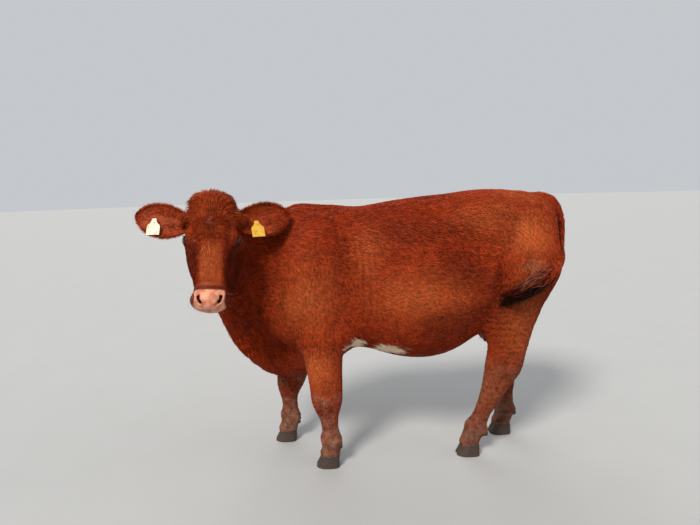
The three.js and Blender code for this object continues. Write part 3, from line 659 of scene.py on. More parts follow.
def makeSkin():
    # The field is worked out on a coarse lattice first, and then on the fine one near the skin.
    cell, coarse = skinMesh["cell"], skinMesh["coarse"]
    (x0, x1), (y0, y1), (z0, z1) = latticeBox()
    low = np.array((x0, y0, z0))
    count = (np.ceil((np.array((x1, y1, z1)) - low) / (cell * coarse)).astype(int)) * coarse + 1
    ticks = [low[i] + np.arange(0, count[i], coarse) * cell for i in range(3)]
    rough = np.stack(np.meshgrid(*ticks, indexing="ij"), -1)
    roughShape, rough = rough.shape[:3], rough.reshape(-1, 3)
    spots = warp(rough)
    away = np.maximum(np.linalg.norm(rough, axis=1), 1)
    scale = np.linalg.norm(spots - skinMesh["middle"], axis=1) / away
    value = joined(bodyForms + hangingForms, spots, np.full(len(spots), 1e6)) + coatDepth(spots)
    band = (np.abs(value) < skinMesh["near"] * scale + skinMesh["margin"]).reshape(roughShape)
    report(f"coarse lattice {roughShape}, {band.sum()} near the skin")
    fine = [np.clip(np.round(np.arange(n) / coarse).astype(int), 0, m - 1) for n, m in zip(count, roughShape)]
    full = value.reshape(roughShape)[np.ix_(*fine)].astype(np.float32)
    near = np.argwhere(band[np.ix_(*fine)])
    for start in range(0, len(near), skinMesh["batch"]):
        part = near[start:start + skinMesh["batch"]]
        full[tuple(part.T)] = skinField(warp(low + part * cell))
    report(f"fine lattice {tuple(count)}, {len(near)} points worked out")
    points, faces = netCells(full < 0, full.astype(float), low, cell)
    points = warp(points)
    here = skinField(points)
    slope = slopeOf(skinField, points, here)
    slope /= np.maximum(np.linalg.norm(slope, axis=1), 0.3)[:, None] ** 2
    for _ in range(2):  # slides each point along the slope onto the surface
        points -= slope * np.clip(here, -5, 5)[:, None]
        here = skinField(points)
    normals = cornerNormals(points, faces)
    report(f"skin {len(points)} points, {len(faces)} faces, off by {np.abs(here).mean():.2f} mm")
    return points, faces, normals


skinPoints, skinFaces, skinNormals = makeSkin()


def meshPiece(name, points, faces, uvs=None, marks=None):
    # One object from points in millimetres and arrays of corner numbers, one array for each face
    # size. uvs: {map name: a pair for each point}; marks: {attribute: three numbers for each point}.
    mesh = bpy.data.meshes.new(name)
    loops = np.concatenate([f.ravel() for f in faces])
    sizes = np.concatenate([np.full(len(f), f.shape[1]) for f in faces])
    mesh.vertices.add(len(points))
    mesh.vertices.foreach_set("co", toRow(points).astype(np.float32).ravel())
    mesh.loops.add(len(loops))
    mesh.loops.foreach_set("vertex_index", loops.astype(np.int32))
    mesh.polygons.add(len(sizes))
    mesh.polygons.foreach_set("loop_start", (np.cumsum(sizes) - sizes).astype(np.int32))
    mesh.polygons.foreach_set("use_smooth", np.ones(len(sizes), bool))
    for key, pairs in (uvs or {}).items():
        mesh.uv_layers.new(name=key).uv.foreach_set("vector", pairs[loops].astype(np.float32).ravel())
    for key, values in (marks or {}).items():
        layer = mesh.attributes.new(key, "FLOAT_VECTOR", "POINT")
        layer.data.foreach_set("vector", values.astype(np.float32).ravel())
    mesh.update(calc_edges=True)
    piece = bpy.data.objects.new(name, mesh)
    bpy.context.scene.collection.objects.link(piece)
    return piece


def ringFaces(rings, sides):
    # quads between neighbouring rings, and a fan round a hub at each end
    i = np.arange(rings - 1)[:, None] * sides + np.arange(sides)
    j = np.arange(rings - 1)[:, None] * sides + (np.arange(sides) + 1) % sides
    quads = np.stack((i, j, j + sides, i + sides), -1).reshape(-1, 4)
    hub = np.full(sides, rings * sides)
    a, b = np.arange(sides), (np.arange(sides) + 1) % sides
    last = (rings - 1) * sides
    return [quads, np.vstack((np.stack((b, a, hub), 1), np.stack((last + a, last + b, hub + 1), 1)))]


def ridden(piece, slot, material, *nodes):
    # gives a piece its material and its row's body, in place of the nodes it stands for; the slot is not used
    piece.data.materials.append(material)
    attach(piece, "root")
    if nodes:
        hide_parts(*nodes)


def closeTube(grid):
    # the points of a (rings, sides, 3) grid with the middle of its first and its last ring
    return np.vstack((grid.reshape(-1, 3), grid[0].mean(0), grid[-1].mean(0)))


def turnedOut(points, faces):
    # the faces turned over where they hold a negative volume
    volume = 0
    for f in faces:
        for k in range(1, f.shape[1] - 1):
            a, b, c = points[f[:, 0]], points[f[:, k]], points[f[:, k + 1]]
            volume += (a * np.cross(b, c)).sum()
    return faces if volume > 0 else [f[:, ::-1] for f in faces]


# an ear is a hollow shell, as a grid of share along it and turn across it
earShape = {
    "length": 256, "half": 78, "rise": 18, "cup": 24, "root": {-1: 102, 1: 84}, "tilt": {-1: -0.15, 1: -0.16},
}
earSkin = {"inner": 3.2, "outer": 8.2, "rim": 3.5, "rings": 44, "turns": 22}


def earAxes(side):
    # along the ear to its tip, across it and out of its hollow
    along = unit(headLeft * side * 0.965 - outOfFace * 0.25 + downFace * earShape["tilt"][side])
    hollow = unit(outOfFace - along * np.dot(outOfFace, along))
    across = -downFace
    across = across - along * np.dot(across, along)
    return along, unit(across - hollow * np.dot(across, hollow)), hollow


def onEar(side, share, turn, behind, trim=0.0):
    # share 0 to 1 of its length, turn -1 to 1 over the hollow, behind its inner face
    along, across, hollow = earAxes(side)
    share, turn, behind = np.broadcast_arrays(share, turn, behind)
    half = 30 * (1 - share) + (earShape["half"] - 15) * np.sin(np.pi * share ** 1.35) ** 0.6
    angle = turn * np.pi / 2
    depth = earShape["cup"] * (1 - share ** 2) + behind
    root = inHead(earShape["root"][side], -66, side * 92)
    return (
        root
        + (share * earShape["length"])[..., None] * along
        + (np.sin(angle) * np.maximum(half - trim, 0.5) + earShape["rise"] * share ** 2)[..., None] * across
        - (np.cos(angle) * depth)[..., None] * hollow
    )


def earSurface(side):
    # rings round the shell: over the inner face with its ridges, then back over the outer face
    share = np.linspace(0, 1, earSkin["rings"]) ** 0.9 * 0.975
    turn = np.linspace(-1, 1, earSkin["turns"])
    ridge = 1.6 * np.sin(turn * 11) * (1 - turn ** 2)
    inner = earSkin["inner"] - ridge * bump(share[:, None], 0.42, 0.3)
    front = onEar(side, share[:, None], turn[None], inner, earSkin["rim"])
    back = onEar(side, share[:, None], turn[None, ::-1], earSkin["outer"], earSkin["rim"])
    grid = np.concatenate((front, back), axis=1)
    points = closeTube(grid)
    return points, turnedOut(points, ringFaces(grid.shape[0], grid.shape[1]))


# The coat: where it lies, how long it is and how it is marked.


def legShare(points):
    # 0 on the trunk and 1 on the legs
    return smoothStep(-points[:, 2], -640, -540) * smoothStep(-points[:, 2], -640, -500)


whorl = {"down": 112, "left": -12}  # on the forehead, where the face's coat parts


def fromWhorl(down, left):
    # how far a place on the face is from the whorl
    return np.hypot(down - whorl["down"], left - whorl["left"])


def lieAt(points, normals):
    # The coat's direction: backwards and down on the trunk, down the legs, from the head to the
    # shoulder on the neck, and away from the whorl on the face, turned a little by slow noise.
    x, y, z = points.T
    side = np.sign(y)
    rump = smoothStep(x, 560, 820)
    shoulder = bump(x, -190, 190) * smoothStep(-z, -1120, -900)
    back, below = 1.0 - 0.75 * rump - 0.55 * shoulder, -0.42 - 0.75 * rump - 0.45 * shoulder
    trunk = np.stack((back, 0.10 * side, below), 1)
    neck = np.tile((0.82, 0.30, -0.62), (len(points), 1))
    leg = np.stack((np.full(len(x), 0.22), 0 * y, np.full(len(x), -1.0)), 1)
    down, out, left = faceCoords(points).T
    outward = np.stack((down - whorl["down"], left - whorl["left"]), 1)
    away = unit(outward) * 0.9 + np.stack((smoothStep(down, 90, 190) * 1.6, 0 * left), 1)
    swirl = np.exp(-(fromWhorl(down, left) / 60) ** 2)
    cheek = smoothStep(-out, 60, 110)
    face = (
        away[:, :1] * downFace + away[:, 1:] * headLeft
        + swirl[:, None] * 0.9 * (outward[:, :1] * headLeft - outward[:, 1:] * downFace) / 60
        + cheek[:, None] * (downFace * 0.5 - outOfFace * 1.0)
    )
    fringe = smoothStep(np.abs(left), 22, 70) * smoothStep(-down, -110, -40)
    face += fringe[:, None] * (headLeft * np.sign(left)[:, None] * 0.9 + downFace * 0.9)
    behind = smoothStep(-down, -60, 20) * smoothStep(-out, 40, 90)
    face += behind[:, None] * (-outOfFace * 1.6 + up * -0.6)
    onNeck = (smoothStep(-x, 250, 420) * (1 - headShare(points)))[:, None]
    lie = trunk + (neck - trunk) * onNeck
    lie += (leg - lie) * legShare(points)[:, None]
    lie += (unit(face) - lie) * headShare(points)[:, None]
    lie = unit(lie - normals * (lie * normals).sum(1, keepdims=True))
    turn = 0.34 * grain(points, 95, 11) + 0.30 * grain(points, 34, 12)
    turn *= 1 - 0.55 * headShare(points)
    wave = np.sin((z + 16 * grain(points, 60, 13)) * 2 * math.pi / 30)
    turn += 0.85 * wave * wetAt(points)
    return lie * np.cos(turn)[:, None] + np.cross(normals, lie) * np.sin(turn)[:, None]


def wetAt(points):
    # 1 where the coat is wet and crimped: the thighs, hind legs and the curls beside the tail
    x, y, z = points.T
    thigh = bump(z, 700, 150) * smoothStep(x, 560, 700)
    return np.maximum(thigh, smoothStep(-z, -560, -380) * smoothStep(x, 400, 600))


hairLength = {
    "trunk": 30, "belly": 34, "neck": 38, "dewlap": 42, "poll": 42, "forehead": 36, "face": 21, "cheek": 18,
    "muzzle": 6, "leg": 19, "foot": 13,
}
# tufts for each square metre; those of the legs, neck, muzzle and whorl come on top of the others
hairDensity = {"trunk": 21000, "leg": 9000, "neck": 3000, "head": 52000, "muzzle": 60000, "whorl": 90000}


def lengthAt(points, normals):
    # the coat's length in millimetres, eased from one region to the next and short round the eyes
    x, y, z = points.T
    down, out, left = faceCoords(points).T
    head, leg = headShare(points), legShare(points)
    length = np.full(len(points), float(hairLength["trunk"]))
    length += (hairLength["belly"] - hairLength["trunk"]) * smoothStep(-normals[:, 2], 0.3, 0.8)
    neck = smoothStep(-x, 250, 420)
    throat = hairLength["neck"] + (hairLength["dewlap"] - hairLength["neck"]) * smoothStep(-z, -760, -560)
    length += (throat - length) * neck
    length += (hairLength["leg"] - length) * leg
    length += (hairLength["foot"] - length) * smoothStep(-z, -300, -120)
    face = hairLength["poll"] + (hairLength["forehead"] - hairLength["poll"]) * smoothStep(down, 10, 110)
    face += (hairLength["face"] - face) * smoothStep(down, 120, 230)
    face += (hairLength["muzzle"] - face) * smoothStep(down, 335, 385)
    face += (hairLength["cheek"] - face) * smoothStep(-out, 70, 120) * smoothStep(down, 60, 120)
    length += (face - length) * head
    for side in bothSides:
        away = np.linalg.norm(points - eyePlace(side), axis=1)
        length = np.minimum(length, 7 + 0.5 * np.maximum(away - 26, 0))
    middle = head * np.exp(-(fromWhorl(down, left) / 26) ** 2)
    return length * (1 - 0.45 * middle)


def densityAt(points):
    # tufts for each square metre, eased between regions, and none on bare skin, eyes or nostrils
    head = headShare(points)
    down, out, left = faceCoords(points).T
    density = np.full(len(points), float(hairDensity["trunk"]))
    density += hairDensity["leg"] * legShare(points)
    density += hairDensity["neck"] * smoothStep(-points[:, 0], 250, 420)
    density += (hairDensity["head"] - density) * head
    density += head * hairDensity["muzzle"] * smoothStep(down, 320, 350)
    density += head * hairDensity["whorl"] * np.exp(-(fromWhorl(down, left) / 22) ** 2)
    onPad = smoothStep(down, 392, 402) * smoothStep(out, -76, -64) * smoothStep(-np.abs(left + 1), -64, -57)
    density *= 1 - head * onPad
    for side in bothSides:
        ahead, edge = almond(points, side)
        density *= 1 - ((np.linalg.norm(points - eyePlace(side), axis=1) < 32) & (edge < 3))
    nostril = (np.abs(np.abs(left) - 38) < 16) & (down > 415) & (out > -30)
    return density * np.where(nostril, 0, 1)


# soft ellipsoids on the coat: centre, sizes and, but for the dirt, how strong
dirtSpots = [((842, -258, 962), (60, 60, 36)), ((872, -270, 930), (44, 60, 30))]
# painted sheen: lighter golden patches where light lies on the shoulders, flanks, hips, rump top and legs of
# both sides
sheenSpots = [
    ((-215, -250, 850), (130, 120, 150), 0.55), ((300, -300, 850), (230, 120, 110), 0.5),
    ((820, -220, 1120), (120, 120, 110), 0.75), ((655, -200, 1190), (150, 120, 80), 0.5),
    ((-190, -240, 500), (110, 90, 120), 0.6), ((-200, 240, 500), (160, 90, 120), 0.6),
    ((790, -200, 700), (100, 120, 190), 0.8), ((640, -160, 330), (160, 120, 170), 0.45),
    ((790, 200, 600), (110, 120, 200), 0.5), ((840, -240, 950), (90, 80, 90), 0.45),
    ((830, 0, 1300), (200, 260, 60), 0.3), ((60, -270, 1050), (70, 120, 130), 0.35),
    ((-215, 250, 850), (130, 120, 150), 0.5), ((300, 300, 850), (230, 120, 110), 0.45),
    ((820, 220, 1120), (120, 120, 110), 0.6),
]
darkSpots = [
    ((470, -290, 960), (150, 110, 110), 0.34), ((430, -300, 730), (200, 120, 90), 0.42),
    ((250, -260, 1150), (260, 120, 70), 0.34), ((620, -290, 900), (90, 90, 120), 0.32),
    ((-60, -240, 1010), (50, 90, 170), 0.3), ((470, 290, 960), (150, 110, 110), 0.34),
    ((430, 300, 730), (200, 120, 90), 0.42), ((250, 260, 1150), (260, 120, 70), 0.34),
]


def tailGapShade(points):
    # painted shade: the crease between the rump and the tail that hangs behind it, darkened
    line = np.array(tailLine)[2:9][::-1]
    x, y, z = points.T
    away = np.hypot(x - np.interp(z, line[:, 2], line[:, 0]), y - np.interp(z, line[:, 2], line[:, 1]))
    inFront = smoothStep(np.interp(z, line[:, 2], line[:, 0]) - x, -4, 12)
    between = smoothStep(z, 940, 985) * smoothStep(-z, -1230, -1180)
    return smoothStep(-np.abs(away - 42), -30, -12) * inFront * between


def marksAt(points):
    # Three masks and three more, each from 0 to 1: dust, pale and painted sheen; dark with painted shade,
    # pink, and wet with painted shadow.
    x, y, z = points.T
    down, out, left = faceCoords(points).T
    head = headShare(points)
    slow, quick = grain(points, 60, 21), grain(points, 16, 22)
    rough = 0.6 * slow + 0.4 * quick
    dust = smoothStep(-z, -400, -90) * (0.72 + 0.28 * rough)
    knee = bump(z, 345, 34) * smoothStep(-x, 40, 90) * smoothStep(0.5 * rough, -0.3, 0.35)
    dust = np.maximum(dust, knee * 0.75)
    for centre, sizes in dirtSpots:
        dust = np.maximum(dust, 0.34 * smoothStep(blob(points, centre, sizes) + 0.35 * quick, 0.30, 0.7))
    dust = np.maximum(dust, smoothStep(-z, -560, -430) * 0.28 * (1 + rough) * smoothStep(x, 300, 600))
    paleSpots = blob(points, (-14, -150, 612), (60, 110, 44))
    paleSpots = np.maximum(paleSpots, blob(points, (168, -150, 588), (100, 110, 42)))
    paleSpots = np.maximum(paleSpots, 0.9 * blob(points, (120, 40, 560), (120, 120, 40)))
    pale = smoothStep(paleSpots + 0.22 * quick, 0.36, 0.62)
    sheen, dark = np.zeros(len(points)), np.zeros(len(points))
    # painted sheen from the patches, uneven with the noise
    for centre, sizes, much in sheenSpots:
        sheen = np.maximum(sheen, 1.35 * much * blob(points, centre, sizes) * (1 + 0.35 * rough))
    for centre, sizes, much in darkSpots:
        dark = np.maximum(dark, much * smoothStep(blob(points, centre, sizes) + 0.25 * rough, 0.2, 0.9))
    # painted light: the nose bridge lighter as if lit from above and in front, and the top of the head lighter
    # with painted highlights
    litBridge = head * smoothStep(-np.abs(left), -52, -34)
    litBridge = litBridge * smoothStep(down, 150, 230) * smoothStep(-down, -388, -368)
    crown = head * smoothStep(-down, -190, -110) * (0.20 + 0.22 * quick)
    sheen = np.maximum(sheen * (1 - head), np.maximum(litBridge * 0.66, crown))
    # painted shade: the band above the muzzle pad and the sides of the face darker, as if lit from above and
    # in front
    band = head * smoothStep(down, 370, 388) * smoothStep(out, -60, -30)
    cheeks = head * smoothStep(np.abs(left), 46, 70) * smoothStep(down, 150, 230)
    dark = np.maximum(dark, np.maximum(band * 0.7, cheeks * 0.72))
    dark = np.maximum(dark, 0.55 * head * blob(points, inHead(120, 10, -10), (26, 26, 26)))
    dark = np.maximum(dark, 0.9 * head * np.exp(-(fromWhorl(down, left) / 17) ** 2))
    # painted shade in the crease beside the tail
    dark = np.maximum(dark, 0.95 * tailGapShade(points))
    # painted shadow: the thigh's coat under the switch darkened to near black, as if the switch cast a shadow
    # there
    line = np.array(tailLine)[8:][::-1]
    across = z - np.interp(x, line[:, 0], line[:, 2])
    onSwitch = smoothStep(-np.abs(across + 14), -46, -30) * smoothStep(-y, 190, 225) * smoothStep(x, 655, 690)
    under = onSwitch * (1 - 0.9 * dust) * smoothStep(-across + 12 * quick, -26, -8)
    dark = np.maximum(dark, 0.95 * under)
    pad = head * smoothStep(down, 396, 403) * smoothStep(out, -80, -68)
    pad *= smoothStep(-np.abs(left + 1) + 2.5 * quick, -64 - 6 * smoothStep(down, 440, 470), -57)
    slitAt = np.clip((down - 428) / 32, 0, 1)
    # painted shade: the inside of each nostril darkened
    nostrilShade = smoothStep(-np.abs(np.abs(left) - (46 - 20 * slitAt)), -12, -8) * smoothStep(-out, 7, 11)
    nostrilShade = nostrilShade * smoothStep(down, 418, 424) * smoothStep(-down, -466, -458) * pad
    pink, dark = pad * (1 - nostrilShade), np.maximum(dark, nostrilShade)
    for side in bothSides:
        ahead, edge = almond(points, side)
        close = smoothStep(-np.linalg.norm(points - eyePlace(side), axis=1), -30, -25)
        pink = np.maximum(pink, 0.3 * close * smoothStep(-edge, -2.6, -0.4))
        # dark lids round the opening, widened into painted shade round the eye
        dark = np.maximum(dark, close * smoothStep(-edge, -10, -3) * (1 - pink))
    pink = np.maximum(pink, 0.85 * blob(points, (715, 0, 600), (90, 70, 60)))
    # wet crimped hair, and the painted shadow under the switch
    wetAndShade = np.maximum(wetAt(points), under)
    return (
        np.clip(np.stack((dust * (1 - pink), pale, sheen), 1), 0, 1),
        np.clip(np.stack((dark, pink, wetAndShade), 1), 0, 1),
    )


def atlasAt(points, part):
    # the place along the part's own axis and the turn round it, inside that part's tile
    tiles = {
        "trunk": (0.00, 0.50, 0.60, 0.50), "neck": (0.62, 0.50, 0.36, 0.50), "head": (0.00, 0.00, 0.30, 0.48),
        "fore": (0.32, 0.00, 0.22, 0.48), "hind": (0.56, 0.00, 0.22, 0.48), "ears": (0.80, 0.25, 0.19, 0.23),
        "tail": (0.80, 0.00, 0.19, 0.22),
    }
    x, y, z = points.T
    u0, v0, wide, high = tiles[part]
    if part == "trunk":
        along, turn = (x + 420) / 1500, np.arctan2(y, z - 880)
    elif part == "neck":
        along, turn = (x + y + 900) / 900, np.arctan2(y + 60, z - 880)
    elif part == "head":
        down, out, left = faceCoords(points).T
        along, turn = (down + 90) / 600, np.arctan2(left, out + 70)
    elif part in ("fore", "hind"):
        names = [n for n in legJoints if n.startswith(part)]
        best, near = np.full(len(points), np.inf), np.zeros((len(points), 2))
        which = np.zeros(len(points))
        for k, name in enumerate(names):
            rows = np.array(legStations(name))[::-1]
            line = np.stack([np.interp(z, rows[:, 2], rows[:, i]) for i in (0, 1)], 1)
            gap = np.linalg.norm(points[:, :2] - line, axis=1)
            closer = gap < best
            best = np.where(closer, gap, best)
            near[closer] = (points[:, :2] - line)[closer]
            which[closer] = k
        along, turn = z / 800, (np.arctan2(near[:, 1], near[:, 0]) + math.pi) / 2 + which * math.pi - math.pi
    else:
        along, turn = (x + 1000) / 2100, np.arctan2(y, z - 900)
    pair = np.stack((np.clip(along, 0.01, 0.99), np.clip(turn / (2 * math.pi) + 0.5, 0.01, 0.99)), 1)
    return pair * (wide, high) + (u0, v0)


def scatter(points, faces, normals, seed):
    # roots spread over quads: so many for each face, at random places inside it
    rng = np.random.default_rng(seed)
    a, b, c, d = (points[faces[:, i]] for i in range(4))
    area = np.linalg.norm(np.cross(c - a, d - b), axis=1) / 2
    expected = area * 1e-6 * densityAt((a + b + c + d) / 4)
    count = np.floor(expected + rng.random(len(faces))).astype(int)
    face = np.repeat(np.arange(len(faces)), count)
    s, t = rng.random((2, len(face)))
    weights = np.stack(((1 - s) * (1 - t), s * (1 - t), s * t, (1 - s) * t))
    roots = sum(w[:, None] * points[faces[face, i]] for i, w in enumerate(weights))
    return roots, unit(sum(w[:, None] * normals[faces[face, i]] for i, w in enumerate(weights)))


def skinDrop(roots, lies, length, rings):
    # how far the skin falls away under each ring of a tuft that runs straight from its root
    t = np.linspace(0, 1, rings + 1)[1:]
    ahead = roots[:, None] + lies[:, None] * (length[:, None] * t)[..., None]
    gap = skinField(ahead.reshape(-1, 3)).reshape(len(roots), rings)
    gap = np.clip(gap, -0.35 * length[:, None], 0.6 * length[:, None])
    return np.concatenate((np.zeros((len(roots), 1)), gap), 1)


def tuftArrays(roots, normals, lies, length, width, lift, curl, rings, unwrap, tone, drop=0.0, crimp=0.0):
    # Each tuft is a flat three-sided spike along a line: the root sunk in the skin, then t of the
    # length along the lie, lift * length * t ** 0.8 over the skin and a sine of curl sideways.
    count = len(roots)
    t = np.linspace(0, 1, rings + 1)
    side = np.cross(normals, lies)
    along = length[:, None] * t
    rise = (lift * length)[:, None] * t ** 0.8 - 1.2 - drop
    sway = (curl * length)[:, None] * np.sin(t * math.pi * 0.9)
    if crimp:
        wave = t * 2 * math.pi * length[:, None] / 26 + tone[:, None] * 40
        sway = sway + crimp * np.sin(wave) * t
        rise = rise + 0.6 * crimp * np.cos(wave) * t
    line = (
        roots[:, None] + lies[:, None] * along[..., None] + normals[:, None] * rise[..., None]
        + side[:, None] * sway[..., None]
    )
    taper = np.sqrt(1 - t[:-1] ** 1.6)
    half = (width / 2)[:, None] * taper
    body = line[:, :-1]
    left = body - side[:, None] * half[..., None]
    right = body + side[:, None] * half[..., None]
    crown = body + normals[:, None] * (half * 0.75)[..., None]
    rows = np.stack((left, right, crown), 2).reshape(count, rings * 3, 3)
    points = np.concatenate((rows, line[:, -1:]), 1)
    each = rings * 3 + 1
    strip = []
    for r in range(rings - 1):
        for i in range(3):
            j, low = (i + 1) % 3, r * 3
            strip += [(low + i, low + j, low + 3 + j), (low + i, low + 3 + j, low + 3 + i)]
    last = (rings - 1) * 3
    strip += [(last + i, last + (i + 1) % 3, each - 1) for i in range(3)] + [(0, 2, 1)]
    strip = np.array(strip)
    faces = (np.arange(count)[:, None, None] * each + strip).reshape(-1, 3)
    share = np.repeat(t[:-1], 3)
    patch = np.stack((np.tile((-1, 1, 0), rings) * 0.0014, (share - 0.5) * 0.0028), 1)
    patch = np.vstack((patch, (0, 0.0014)))
    uv = (unwrap[:, None] + patch).reshape(-1, 2)
    tip = np.tile(np.append(share, 1.0), (count, 1))
    strand = np.stack((np.repeat(tone, each), tip.ravel(), np.repeat(length / 50, each)), 1)
    return points.reshape(-1, 3), faces, uv, strand, each


def coatPiece(name, parts):
    # joins sets of tufts into one piece, with the marks of each tuft's root on all of it
    points, faces, uvs, strands, roots = [], [], [], [], []
    base = 0
    for arrays, root in parts:
        p, f, uv, strand, each = arrays
        points.append(p)
        faces.append(f + base)
        uvs.append(uv)
        strands.append(strand)
        roots.append(np.repeat(root, each, axis=0))
        base += len(p)
    marks, more = marksAt(np.vstack(roots))
    return meshPiece(name, np.vstack(points), [np.vstack(faces)], {"OFBake": np.vstack(uvs)},
                     {"marks": marks, "moreMarks": more, "strand": np.vstack(strands)})


class Value:
    # a number's socket in a material: arithmetic on it adds Math nodes
    def __init__(self, paint, socket):
        self.paint, self.socket = paint, socket

    def sum(self, operation, a, b):
        return self.paint.node("ShaderNodeMath", {"operation": operation}, {0: a, 1: b})

    def __add__(self, other):
        return self.sum("ADD", self, other)

    def __sub__(self, other):
        return self.sum("SUBTRACT", self, other)

    def __rsub__(self, other):
        return self.sum("SUBTRACT", other, self)

    def __mul__(self, other):
        return self.sum("MULTIPLY", self, other)

    def __pow__(self, other):
        return self.sum("POWER", self, other)

    def atMost(self, other):
        return self.sum("MINIMUM", self, other)

    def atLeast(self, other):
        return self.sum("MAXIMUM", self, other)

    __radd__ = __add__
    __rmul__ = __mul__

    def eased(self, start, end):
        # 0 before start, 1 after end, smooth between
        sockets = {"Value": self, "From Min": start, "From Max": end}
        return self.paint.node("ShaderNodeMapRange", {"interpolation_type": "SMOOTHSTEP"}, sockets)


class Paint:
    # a material, its node tree and the ways its nodes are added
    def __init__(self, name):
        self.material = bpy.data.materials.new(name)
        self.material.use_nodes = True
        self.tree = self.material.node_tree
        self.tree.nodes.clear()

    def node(self, kind, settings=None, sockets=None, out=0):
        node = self.tree.nodes.new(kind)
        for key, value in (settings or {}).items():
            setattr(node, key, value)
        for key, value in (sockets or {}).items():
            if isinstance(value, Value):
                self.tree.links.new(value.socket, node.inputs[key])
            else:
                node.inputs[key].default_value = value
        return Value(self, node.outputs[out])

    def place(self):
        return self.node("ShaderNodeTexCoord", out="Object")

    def stretched(self, place, turn, size):
        return self.node("ShaderNodeMapping", None, {"Vector": place, "Rotation": turn, "Scale": size})

    def noise(self, place, scale, detail=2.0, rough=0.5):
        sockets = {"Vector": place, "Scale": scale, "Detail": detail, "Roughness": rough}
        return self.node("ShaderNodeTexNoise", None, sockets)

    def cells(self, place, scale):
        return self.node("ShaderNodeTexVoronoi", None, {"Vector": place, "Scale": scale})

    def parts(self, name):
        vector = self.node("ShaderNodeAttribute", {"attribute_name": name}, out="Vector")
        split = self.node("ShaderNodeSeparateXYZ", None, {0: vector})
        return [Value(self, o) for o in split.socket.node.outputs]

    def mix(self, share, a, b):
        # a colour between two, each a socket or three numbers
        a, b = (colour if isinstance(colour, Value) else (*colour, 1) for colour in (a, b))
        return self.node("ShaderNodeMix", {"data_type": "RGBA"}, {0: share, 6: a, 7: b}, out=2)

    def bump(self, height, distance, strength=1.0):
        sockets = {"Height": height, "Distance": distance, "Strength": strength}
        return self.node("ShaderNodeBump", None, sockets)

    def finish(self, colour, roughness, normal=None, **more):
        # a Principled BSDF into the output; more gives its other sockets by name
        colour = colour if isinstance(colour, Value) else (*colour, 1)
        sockets = {"Base Color": colour, "Roughness": roughness}
        if normal:
            sockets["Normal"] = normal
        sockets.update({key.replace("_", " "): value for key, value in more.items()})
        surface = self.node("ShaderNodeBsdfPrincipled", None, sockets)
        output = self.tree.nodes.new("ShaderNodeOutputMaterial")
        self.tree.links.new(surface.socket, output.inputs["Surface"])
        return self.material


# sheen is the colour of the painted sheen; dark and black also serve for painted shade and painted shadow
coatColours = {
    "deep": (0.105, 0.0085, 0.0022), "warm": (0.40, 0.041, 0.0072), "sheen": (0.60, 0.140, 0.038),
    "dark": (0.030, 0.0026, 0.0012), "black": (0.004, 0.002, 0.0015), "mud": (0.105, 0.060, 0.036),
    "dryMud": (0.27, 0.178, 0.120), "pale": (0.92, 0.74, 0.54), "pink": (0.66, 0.285, 0.170),
    "pinkDark": (0.42, 0.130, 0.075),
}


def coatPaint(name, tufts):
    # Rust red, lighter at the tips, with the marks mixed in: painted sheen, dark patches and painted shade,
    # then mud, wet hair and near-black painted shadow, the pale belly patch and the bare pink skin.
    paint = Paint(name)
    dust, pale, sheen = paint.parts("marks")
    dark, pink, wetAndShade = paint.parts("moreMarks")
    place = paint.place()
    slow = paint.noise(place, 5.5, 2).eased(0.34, 0.66)
    quick = paint.noise(place, 34, 3).eased(0.3, 0.7)
    fall = (0, math.radians(-24), 0)  # the streaks and locks slope backwards and down
    streak = paint.noise(paint.stretched(place, fall, (0.12, 1, 1)), 330, 3, 0.6)
    lock = paint.noise(paint.stretched(place, fall, (0.3, 1, 1)), 95, 2).eased(0.32, 0.68)
    if tufts:
        tone, tip = paint.parts("strand")[:2]
        light = tone * 0.62 + tip * 0.34 + slow * 0.20 + quick * 0.20 + lock * 0.30 - 0.32
    else:
        light = streak.eased(0.3, 0.72) * 0.34 + slow * 0.14 + quick * 0.12 + lock * 0.18 - 0.10
        tip = streak.eased(0.4, 0.7)
    c = coatColours
    colour = paint.mix(light.atLeast(0.0).atMost(1.0), c["deep"], c["warm"])
    # painted sheen: golden where light lies on the coat, most at the tips
    colour = paint.mix(sheen * (0.35 + 0.65 * tip), colour, c["sheen"])
    colour = paint.mix(dark * 0.93, colour, c["dark"])
    mud = paint.mix(quick, c["mud"], c["dryMud"])
    colour = paint.mix(dust * (0.55 + 0.45 * streak.eased(0.3, 0.6)), colour, mud)
    # darker where the hair is wet, and where painted shade and shadow lie on and under the switch
    colour = paint.mix(wetAndShade * 0.35, colour, c["dark"])
    # near black where both marks meet: the painted shadow under the switch and the painted shade of the switch
    colour = paint.mix(wetAndShade * dark * 0.9, colour, c["black"])
    colour = paint.mix(pale, colour, c["pale"])
    flesh = paint.mix(paint.noise(place, 48, 3).eased(0.35, 0.7), c["pink"], c["pinkDark"])
    colour = paint.mix(pink, colour, flesh)
    tint = (1.0, 0.62, 0.42, 1)
    if tufts:
        rough = 0.54 + 0.26 * dust - 0.10 * wetAndShade
        return paint.finish(colour, rough, None, Specular_IOR_Level=0.10, Specular_Tint=tint)
    pebbles = paint.cells(place, 420) * pink * 0.9
    height = streak * (1 - pink) + pebbles + paint.noise(place, 130, 2) * 0.5
    return paint.finish(colour, 0.52 + 0.25 * dust - 0.16 * pink, paint.bump(height, 0.0011, 0.85),
                        Specular_IOR_Level=0.2, Specular_Tint=tint, Coat_Weight=pink * 0.25,
                        Coat_Roughness=0.35)


skinPaint = coatPaint("skin and undercoat", False)
tuftPaint = coatPaint("guard hair", True)
report("coat materials")


